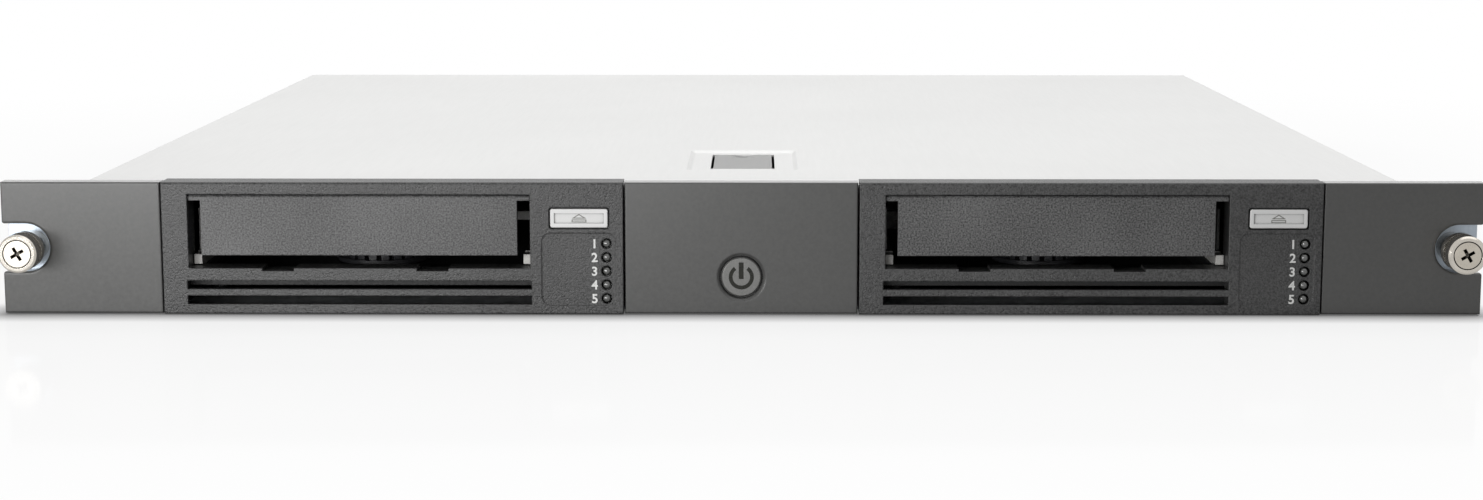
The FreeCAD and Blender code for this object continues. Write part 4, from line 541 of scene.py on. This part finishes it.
def lampTree():
    tree, given = startTree("lampColumn", {
        "Count": "Int", "First": "Vector", "Step": "Vector", "Radius": "Float", "Flatness": "Float",
        "Plastic": "Material"})
    column = addNode(tree, "GeometryNodeMeshLine", {"mode": "OFFSET"}, {
        "Count": given["Count"], "Start Location": given["First"], "Offset": given["Step"]})
    dome = addNode(tree, "GeometryNodeMeshUVSphere", None, {
        "Segments": lamp["segments"], "Rings": lamp["rings"], "Radius": given["Radius"]})
    scale = addNode(tree, "ShaderNodeCombineXYZ", None, {"X": 1.0, "Y": given["Flatness"], "Z": 1.0})
    flat = addNode(tree, "GeometryNodeTransform", None, {
        "Geometry": dome.outputs[0], "Scale": scale.outputs[0]})
    smooth = addNode(tree, "GeometryNodeSetShadeSmooth", None, {"Geometry": flat.outputs[0]})
    tips = addNode(tree, "GeometryNodeInstanceOnPoints", None, {
        "Points": column.outputs[0], "Instance": smooth.outputs[0]})
    endTree(tree, tips.outputs[0], given["Plastic"])
    return tree


lampGroup = lampTree()
for side in ("left", "right"):
    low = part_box(f"{side}_drive_bezel")[0]
    grow(f"{side}_lamp_domes", lampGroup, {
        "Count": lamp["count"], "Step": (0, 0, lamp["pitch"] * mm),
        "First": (low.x + lamp["left"] * mm, low.y + lamp["sink"] * mm, low.z + lamp["low"] * mm),
        "Radius": lamp["radius"] * mm, "Flatness": lamp["rise"] / lamp["radius"],
        "Plastic": lightPipe}, "chassis")
print("lamp domes set")


# faces between two rows of corners; closed rows run on from the last corner to the first
def joinRows(shape, one, other, closed):
    count = len(one)
    for step in range(count if closed else count - 1):
        following = (step + 1) % count
        shape.faces.new((one[step], one[following], other[following], other[step]))


# a band between two outlines with the same number of corners, given depth along Y, capped if open
def bandOf(shape, outer, inner, front, depth, closed=True):
    frontOut, frontIn, backOut, backIn = [
        [shape.verts.new((x, y, z)) for x, z in corners]
        for y in (front, front + depth) for corners in (outer, inner)]
    for one, other in ((frontOut, frontIn), (frontIn, backIn), (backIn, backOut), (backOut, frontOut)):
        joinRows(shape, one, other, closed)
    if not closed:
        for end in (0, -1):
            shape.faces.new((frontOut[end], frontIn[end], backIn[end], backOut[end]))


# eject sign on the sunk panel of each button: an outlined triangle over an outlined bar in a grey film that
# is painted shade for the edges of the moulded sign
ejectSign = {
    "width": 4.8, "peak": 1.5, "gap": 0.3, "bar": 0.95, "stroke": 0.3, "film": 0.02, "panelDeep": 0.5}
for side in ("left", "right"):
    low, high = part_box(f"{side}_eject_button")
    face = low.y + (ejectSign["panelDeep"] - ejectSign["film"]) * mm
    middle = ((low.x + high.x) / 2, (low.z + high.z) / 2)
    half = ejectSign["width"] / 2
    peak, gap, bar, stroke = [ejectSign[key] for key in ("peak", "gap", "bar", "stroke")]
    foot = -(peak + gap + bar) / 2
    base = foot + bar + gap
    slope = math.atan2(peak, half)
    inset = stroke / math.tan(slope / 2)  # how far the inner corner stands in from the outer one
    outlines = [
        ([(-half, base), (half, base), (0, base + peak)],
         [(-half + inset, base + stroke), (half - inset, base + stroke),
          (0, base + peak - stroke / math.cos(slope))]),
        ([(-half, foot), (half, foot), (half, foot + bar), (-half, foot + bar)],
         [(-half + stroke, foot + stroke), (half - stroke, foot + stroke),
          (half - stroke, foot + bar - stroke), (-half + stroke, foot + bar - stroke)]),
    ]
    shape = bmesh.new()
    for pair in outlines:
        outer, inner = [[(middle[0] + x * mm, middle[1] + z * mm) for x, z in corners] for corners in pair]
        bandOf(shape, outer, inner, face, ejectSign["film"] * 2 * mm)
    name = f"{side}_eject_sign"
    addPiece(name, meshFrom(name, shape), greySignShade, f"{side}_eject")

# open ring of the power sign, let into the cap
powerRing = {"outer": 4.1, "stroke": 1.25, "gap": 35, "steps": 72, "proud": 0.03, "sunk": 0.3}
low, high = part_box("power_button")
keyCentre = (low + high) / 2
span = math.radians(360 - 2 * powerRing["gap"])
begin = math.radians(90 + powerRing["gap"])
turns = [begin + span * step / powerRing["steps"] for step in range(powerRing["steps"] + 1)]
outer, inner = [
    [(keyCentre.x + radius * mm * math.cos(turn), keyCentre.z + radius * mm * math.sin(turn))
     for turn in turns]
    for radius in (powerRing["outer"], powerRing["outer"] - powerRing["stroke"])]
shape = bmesh.new()
bandOf(shape, outer, inner, low.y - powerRing["proud"] * mm, (powerRing["proud"] + powerRing["sunk"]) * mm,
       closed=False)
addPiece("power_sign_ring", meshFrom("power_sign_ring", shape), smokedLens, "power_key")
print("signs moulded")

# plain figures beside the lamps, counted from the top; capShare is a figure's height in its font size
figure = {"height": 2.9, "capShare": 0.7, "right": 142.0, "fieldDeep": 0.3, "film": 0.02, "weight": 0.1}
for side in ("left", "right"):
    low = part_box(f"{side}_drive_bezel")[0]
    column = bmesh.new()
    for number in range(1, lamp["count"] + 1):
        curve = bpy.data.curves.new(f"{side}_figure_{number}", "FONT")
        curve.body = str(number)
        curve.size = figure["height"] / figure["capShare"] * mm
        curve.extrude = figure["film"] * mm
        curve.offset = figure["weight"] * mm
        curve.align_x = "RIGHT"
        words = bpy.data.objects.new(curve.name, curve)
        bpy.context.scene.collection.objects.link(words)
        flat = settledMesh(words)
        up = lamp["low"] + lamp["pitch"] * (lamp["count"] - number) - figure["height"] / 2
        spot = (low.x + figure["right"] * mm, low.y + figure["fieldDeep"] * mm, low.z + up * mm)
        flat.transform(Matrix.Translation(spot) @ Matrix.Rotation(math.pi / 2, 4, "X"))
        column.from_mesh(flat)
        bpy.data.objects.remove(words)
    name = f"{side}_lamp_figures"
    addPiece(name, meshFrom(name, column), whiteInk, "chassis")
print("figures printed")


# screw turned from its profile, with a cross recess, lying along +Z with its seat at the origin
def screwMesh(name, recipe):
    shape = bmesh.new()
    steps = recipe["steps"]
    turns = [2 * math.pi * step / steps for step in range(steps)]
    rings = [
        [shape.verts.new((radius * mm * math.cos(turn), radius * mm * math.sin(turn), height * mm))
         for turn in turns]
        for radius, height in recipe["profile"]]
    for one, other in zip(rings, rings[1:]):
        joinRows(shape, one, other, closed=True)
    shape.faces.new(rings[0])
    shape.faces.new(rings[-1])
    head = bpy.data.objects.new(name, meshFrom(name, shape))
    cutter = bmesh.new()
    for turn in (0, math.pi / 2):
        size = Matrix.Diagonal((recipe["span"] * mm, recipe["slot"] * mm, recipe["deep"] * 2 * mm, 1))
        turned = Matrix.Rotation(turn, 4, "Z")
        lift = Matrix.Translation((0, 0, recipe["profile"][-1][1] * mm))
        bmesh.ops.create_cube(cutter, size=1.0, matrix=lift @ turned @ size)
    cross = bpy.data.objects.new(f"{name}_cross", meshFrom(f"{name}_cross", cutter))
    for item in (head, cross):
        bpy.context.scene.collection.objects.link(item)
    bore = head.modifiers.new("recess", "BOOLEAN")
    bore.object = cross
    bore.solver = "EXACT"
    bore.use_self = True
    bored = settledMesh(head)
    head.modifiers.clear()
    head.data = bored
    bpy.data.objects.remove(cross)
    return head


# radius and height of each ring, from the foot of the shank to the top of the head
panScrew = {
    "steps": 28, "span": 3.4, "slot": 0.75, "deep": 0.9,
    "profile": [(1.4, -4.5), (1.4, 0.0), (2.8, 0.0), (2.8, 0.75), (2.6, 1.15), (2.1, 1.42), (1.3, 1.56),
                (0.6, 1.6)]}
fanScrew = {
    "steps": 24, "span": 2.8, "slot": 0.6, "deep": 0.7,
    "profile": [(1.2, -0.8), (1.2, 0.0), (2.4, 0.0), (2.4, 0.6), (2.2, 0.95), (1.7, 1.2), (0.9, 1.3)]}
lidScrew = {
    "steps": 24, "span": 2.4, "slot": 0.55, "deep": 0.4,
    "profile": [(1.2, -0.65), (1.9, -0.1), (1.95, 0.02)]}


# screws stand on the points of the seed mesh, all turned the same way
def screwTree():
    tree, given = startTree("screwSet", {
        "Geometry": "Geometry", "Screw": "Object", "Aim": "Rotation", "Metal": "Material"})
    template = addNode(tree, "GeometryNodeObjectInfo", None, {"Object": given["Screw"]})
    stood = addNode(tree, "GeometryNodeInstanceOnPoints", None, {
        "Points": given["Geometry"], "Instance": template.outputs["Geometry"], "Rotation": given["Aim"]})
    endTree(tree, stood.outputs[0], given["Metal"])
    return tree


screwGroup = screwTree()
panHead = screwMesh("pan_screw", panScrew)
fanHead = screwMesh("fan_screw", fanScrew)
lidHead = screwMesh("lid_screw", lidScrew)

# three housing screws a side; the plain solids that they replace are one node
screwRow = {"front": 25.0, "pitch": 30.0, "rearBack": 8.0, "up": 15.0, "earGauge": 2.0, "turn": 0.4}
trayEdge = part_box("chassis_tray")[1].x
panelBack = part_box("rear_panel")[1].y
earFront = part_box("left_ear_fascia")[0].y
for side, outward in (("left", -1), ("right", 1)):
    wall = trayEdge * outward
    seat = wall + screwRow["earGauge"] * mm * outward
    spots = [(seat, earFront + screwRow["front"] * mm, screwRow["up"] * mm),
             (seat, earFront + (screwRow["front"] + screwRow["pitch"]) * mm, screwRow["up"] * mm),
             (wall, panelBack - screwRow["rearBack"] * mm, screwRow["up"] * mm)]
    grow(f"{side}_housing_screws", screwGroup, {
        "Screw": panHead, "Aim": (screwRow["turn"], math.pi / 2 * outward, 0), "Metal": screwSteel},
        "chassis", spots)
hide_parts("chassis_screws")

# four screws hold each fan to the rear panel
fanRow = {"corner": 16.0, "turn": 0.3}
fanSpots = []
for side in ("left", "right"):
    low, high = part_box(f"{side}_fan_frame")
    for across in (-fanRow["corner"], fanRow["corner"]):
        for up in (-fanRow["corner"], fanRow["corner"]):
            fanSpots.append(((low.x + high.x) / 2 + across * mm, panelBack, (low.z + high.z) / 2 + up * mm))
grow("fan_screws", screwGroup, {
    "Screw": fanHead, "Aim": (-math.pi / 2, fanRow["turn"], 0), "Metal": screwSteel},
    "chassis", fanSpots)

# countersunk screws at the corners of each drive lid, flush with it
lidRow = {"across": 8.0, "along": 9.0, "turn": 0.5}
lidSpots = []
for side in ("left", "right"):
    low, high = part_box(f"{side}_drive_lid")
    for x in (low.x + lidRow["across"] * mm, high.x - lidRow["across"] * mm):
        for y in (low.y + lidRow["along"] * mm, high.y - lidRow["along"] * mm):
            lidSpots.append((x, y, high.z))
grow("lid_screws", screwGroup, {"Screw": lidHead, "Aim": (0, 0, lidRow["turn"]), "Metal": screwSteel},
     "chassis", lidSpots)
for template in (panHead, fanHead, lidHead):
    bpy.data.objects.remove(template)
print("screws driven")

# the return leaves of the latch and the doors, each a copy of its solid set on its own body:
# fixedEnd is the low (0) or high (1) corner of the leaf's box, keep the share of its height that is left
leaves = {
    "latch": {"joint": "latch_press", "body": "cover", "fixedEnd": 0, "keep": 0.65},
    "left_door": {"joint": "left_door_swing", "body": "chassis", "fixedEnd": 1, "keep": 0.17},
    "right_door": {"joint": "right_door_swing", "body": "chassis", "fixedEnd": 1, "keep": 0.17},
}
for name, leaf in leaves.items():
    node = f"{name}_spring"
    strip = cadNodes[node].data.copy()
    piece = addPiece(f"{name}_leaf", strip, springSteel, leaf["body"])
    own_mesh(piece)
    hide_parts(node)
print("leaf springs set")

# plated blades of the mains inlet, slipped over their solids
blade = {
    "pitch": 7.0, "drop": 2.0, "rise": 2.4, "width": 2.05, "height": 4.05, "back": 5.2, "slip": 0.05,
    "root": 16.0, "tip": 0.45, "tipSteps": 3}
low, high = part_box("power_inlet")
inletMid = (low + high) / 2
tipY = high.y - (blade["back"] - blade["slip"]) * mm
shape = bmesh.new()
for across, up in ((0, blade["rise"]), (-blade["pitch"], -blade["drop"]), (blade["pitch"], -blade["drop"])):
    size = Matrix.Diagonal((blade["width"] * mm, blade["root"] * mm, blade["height"] * mm, 1))
    spot = (inletMid.x + across * mm, tipY - blade["root"] / 2 * mm, inletMid.z + up * mm)
    bmesh.ops.create_cube(shape, size=1.0, matrix=Matrix.Translation(spot) @ size)
tips = [edge for edge in shape.edges if all(abs(v.co.y - tipY) < weld for v in edge.verts)]
bmesh.ops.bevel(shape, geom=tips, offset=blade["tip"] * mm, segments=blade["tipSteps"], affect="EDGES")
addPiece("inlet_blades", meshFrom("inlet_blades", shape), nickel, "chassis")

# gold contact strips on both faces of each port tongue
contact = {
    "count": 11, "pitch": 1.5, "width": 0.7, "length": 9.0, "film": 0.06, "tongue": 1.6, "back": 6.4,
    "down": 5.5}


def contactTree():
    tree, given = startTree("contactRow", {
        "Count": "Int", "First": "Vector", "Step": "Vector", "Strip": "Vector", "Metal": "Material"})
    row = addNode(tree, "GeometryNodeMeshLine", {"mode": "OFFSET"}, {
        "Count": given["Count"], "Start Location": given["First"], "Offset": given["Step"]})
    strip = addNode(tree, "GeometryNodeMeshCube", None, {"Size": given["Strip"]})
    strips = addNode(tree, "GeometryNodeInstanceOnPoints", None, {
        "Points": row.outputs[0], "Instance": strip.outputs[0]})
    endTree(tree, strips.outputs[0], given["Metal"])
    return tree


contactGroup = contactTree()
for side in ("left", "right"):
    low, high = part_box(f"{side}_data_port")
    across = (low.x + high.x) / 2 - contact["pitch"] * (contact["count"] - 1) / 2 * mm
    along = high.y - (contact["back"] + contact["length"] / 2) * mm
    thick = contact["tongue"] + 2 * contact["film"]
    grow(f"{side}_port_contacts", contactGroup, {
        "Count": contact["count"], "First": (across, along, high.z - contact["down"] * mm),
        "Step": (contact["pitch"] * mm, 0, 0),
        "Strip": (contact["width"] * mm, contact["length"] * mm, thick * mm),
        "Metal": goldFlash}, "chassis")
print("rear connectors fitted")

# floor and sky: white to the eye and to reflections, with the shadow kept close round the object
white = (1, 1, 1, 1)
ground = {
    "size": 8.0, "drop": 0.2, "albedo": "#e6e6e6", "bounce": "#6a6a6a", "mirror": 0.03, "mirrorRough": 0.08,
    "housing": ((0, 0.011, 0), (0.217, 0.218, 0)), "ears": ((0, -0.214, 0), (0.2413, 0.0045, 0)),
    "whiteAt": 0.4,
    "fade": ((0.0, 0.12), (0.01, 0.36), (0.035, 0.86), (0.1, 0.91), (0.375, 0.965), (1.0, 1.0))}


# 1 for what the camera sees, straight or by a reflection or a lens, and 0 for scattered light
def seenRays(tree):
    path = addNode(tree, "ShaderNodeLightPath").outputs
    seen = path["Is Camera Ray"]
    for ray in ("Is Glossy Ray", "Is Transmission Ray"):
        both = addNode(tree, "ShaderNodeMath", {"operation": "MAXIMUM"}, {0: seen, 1: path[ray]})
        seen = both.outputs[0]
    return seen


def mixShaders(tree, share, first, second):
    return addNode(tree, "ShaderNodeMixShader", None, {0: share, 1: first.outputs[0], 2: second.outputs[0]})


# distance outside a box on the floor, given by its middle and half size
def reachFrom(tree, coords, middle, half):
    offset = coords
    for operation, other in (("SUBTRACT", middle), ("ABSOLUTE", None), ("SUBTRACT", half),
                             ("MAXIMUM", (0, 0, 0)), ("LENGTH", None)):
        operands = {0: offset} if other is None else {0: offset, 1: other}
        step = addNode(tree, "ShaderNodeVectorMath", {"operation": operation}, operands)
        offset = step.outputs[0]
    return step.outputs["Value"]


def groundMaterial():
    material = bpy.data.materials.new("studioGround")
    material.use_nodes = True
    tree = material.node_tree
    tree.nodes.clear()
    coords = addNode(tree, "ShaderNodeTexCoord").outputs["Object"]
    reaches = [reachFrom(tree, coords, *ground[key]) for key in ("housing", "ears")]
    nearest = addNode(tree, "ShaderNodeMath", {"operation": "MINIMUM"}, {0: reaches[0], 1: reaches[1]})
    ramp = addNode(tree, "ShaderNodeMapRange", None, {
        "Value": nearest.outputs[0], "From Min": 0.0, "From Max": ground["whiteAt"]})
    away = addNode(tree, "ShaderNodeValToRGB", None, {"Fac": ramp.outputs[0]})
    stops = away.color_ramp.elements
    for place, _ in ground["fade"][1:-1]:
        stops.new(place)
    for stop, (_, share) in zip(stops, ground["fade"]):
        stop.color = (share, share, share, 1)
    paint = addNode(tree, "ShaderNodeBsdfDiffuse", None, {"Color": linear(ground["albedo"])})
    dull = addNode(tree, "ShaderNodeBsdfDiffuse", None, {"Color": linear(ground["bounce"])})
    blank = addNode(tree, "ShaderNodeEmission", None, {"Color": white, "Strength": 1.0})
    gloss = addNode(tree, "ShaderNodeBsdfGlossy", None, {"Color": white, "Roughness": ground["mirrorRough"]})
    fade = mixShaders(tree, away.outputs[0], paint, blank)
    wet = mixShaders(tree, ground["mirror"], fade, gloss)
    top = mixShaders(tree, seenRays(tree), dull, wet)
    clear = addNode(tree, "ShaderNodeBsdfTransparent")
    below = addNode(tree, "ShaderNodeNewGeometry").outputs["Backfacing"]
    final = mixShaders(tree, below, top, clear)
    addNode(tree, "ShaderNodeOutputMaterial", None, {"Surface": final.outputs[0]})
    return material


bpy.ops.mesh.primitive_plane_add(size=ground["size"], location=(0, 0, cadBox[0].z - ground["drop"] * mm))
floor = bpy.context.object
floor.name = "studio_floor"
floor.data.materials.append(groundMaterial())

sky = {"fill": 0.12, "seen": 1.0}
world = bpy.data.worlds.new("studioSky")
bpy.context.scene.world = world
world.use_nodes = True
tree = world.node_tree
tree.nodes.clear()
fill, bright = [
    addNode(tree, "ShaderNodeBackground", None, {"Color": white, "Strength": sky[key]})
    for key in ("fill", "seen")]
mixed = mixShaders(tree, seenRays(tree), fill, bright)
addNode(tree, "ShaderNodeOutputWorld", None, {"Surface": mixed.outputs[0]})

# overhead softbox for all, low strip box from the front left for all but the floor
unlit = bpy.data.collections.new("stripSkips")
unlit.objects.link(floor)
unlit.collection_objects[0].light_linking.link_state = "EXCLUDE"
# backdrop glow that the painted top edges of the fascias mirror
rimmed = bpy.data.collections.new("backdropLights")
for name in ("left_ear_fascia", "centre_fascia", "right_ear_fascia"):
    rimmed.objects.link(cadNodes[name])
lamps = {
    "overhead": {
        "place": (0.2, 0.4, 1.5), "aim": (0, 0.1, 0.04), "size": (3.0, 2.2), "power": 20, "onto": None},
    "stripLeft": {
        "place": (-0.32, -0.75, 0.06), "aim": (-0.05, -0.22, 0.02), "size": (0.6, 0.1), "power": 3.0,
        "onto": unlit},
    "backdrop": {
        "place": (0, 1.4, 0.3), "aim": (0, -0.2, 0.04), "size": (2.6, 0.5), "power": 4.0, "onto": rimmed},
}
for name, box in lamps.items():
    light = bpy.data.lights.new(name, "AREA")
    light.shape = "RECTANGLE"
    light.size, light.size_y = box["size"]
    light.energy = box["power"]
    stand = bpy.data.objects.new(name, light)
    stand.location = box["place"]
    sight = Vector(box["aim"]) - Vector(box["place"])
    stand.rotation_euler = sight.to_track_quat("-Z", "Y").to_euler()
    stand.visible_camera = False
    bpy.context.scene.collection.objects.link(stand)
    if box["onto"]:
        stand.light_linking.receiver_collection = box["onto"]

# camera where the photograph was taken from: about 0.8 m in front, a little above the cover
shot = {
    "place": (0.0058, -1.0267, 0.1453), "pitch": 8.717, "yaw": 0.406, "lens": 60.93, "sensor": 36,
    "near": 0.01}
lens = bpy.data.cameras.new("shot")
lens.lens = shot["lens"]
lens.sensor_width = shot["sensor"]
lens.clip_start = shot["near"]
eye = bpy.data.objects.new("shot", lens)
eye.location = shot["place"]
eye.rotation_euler = (math.radians(90 - shot["pitch"]), 0, math.radians(shot["yaw"]))
bpy.context.scene.collection.objects.link(eye)
bpy.context.scene.camera = eye
bpy.context.scene.view_settings.view_transform = "Standard"
print("studio set")
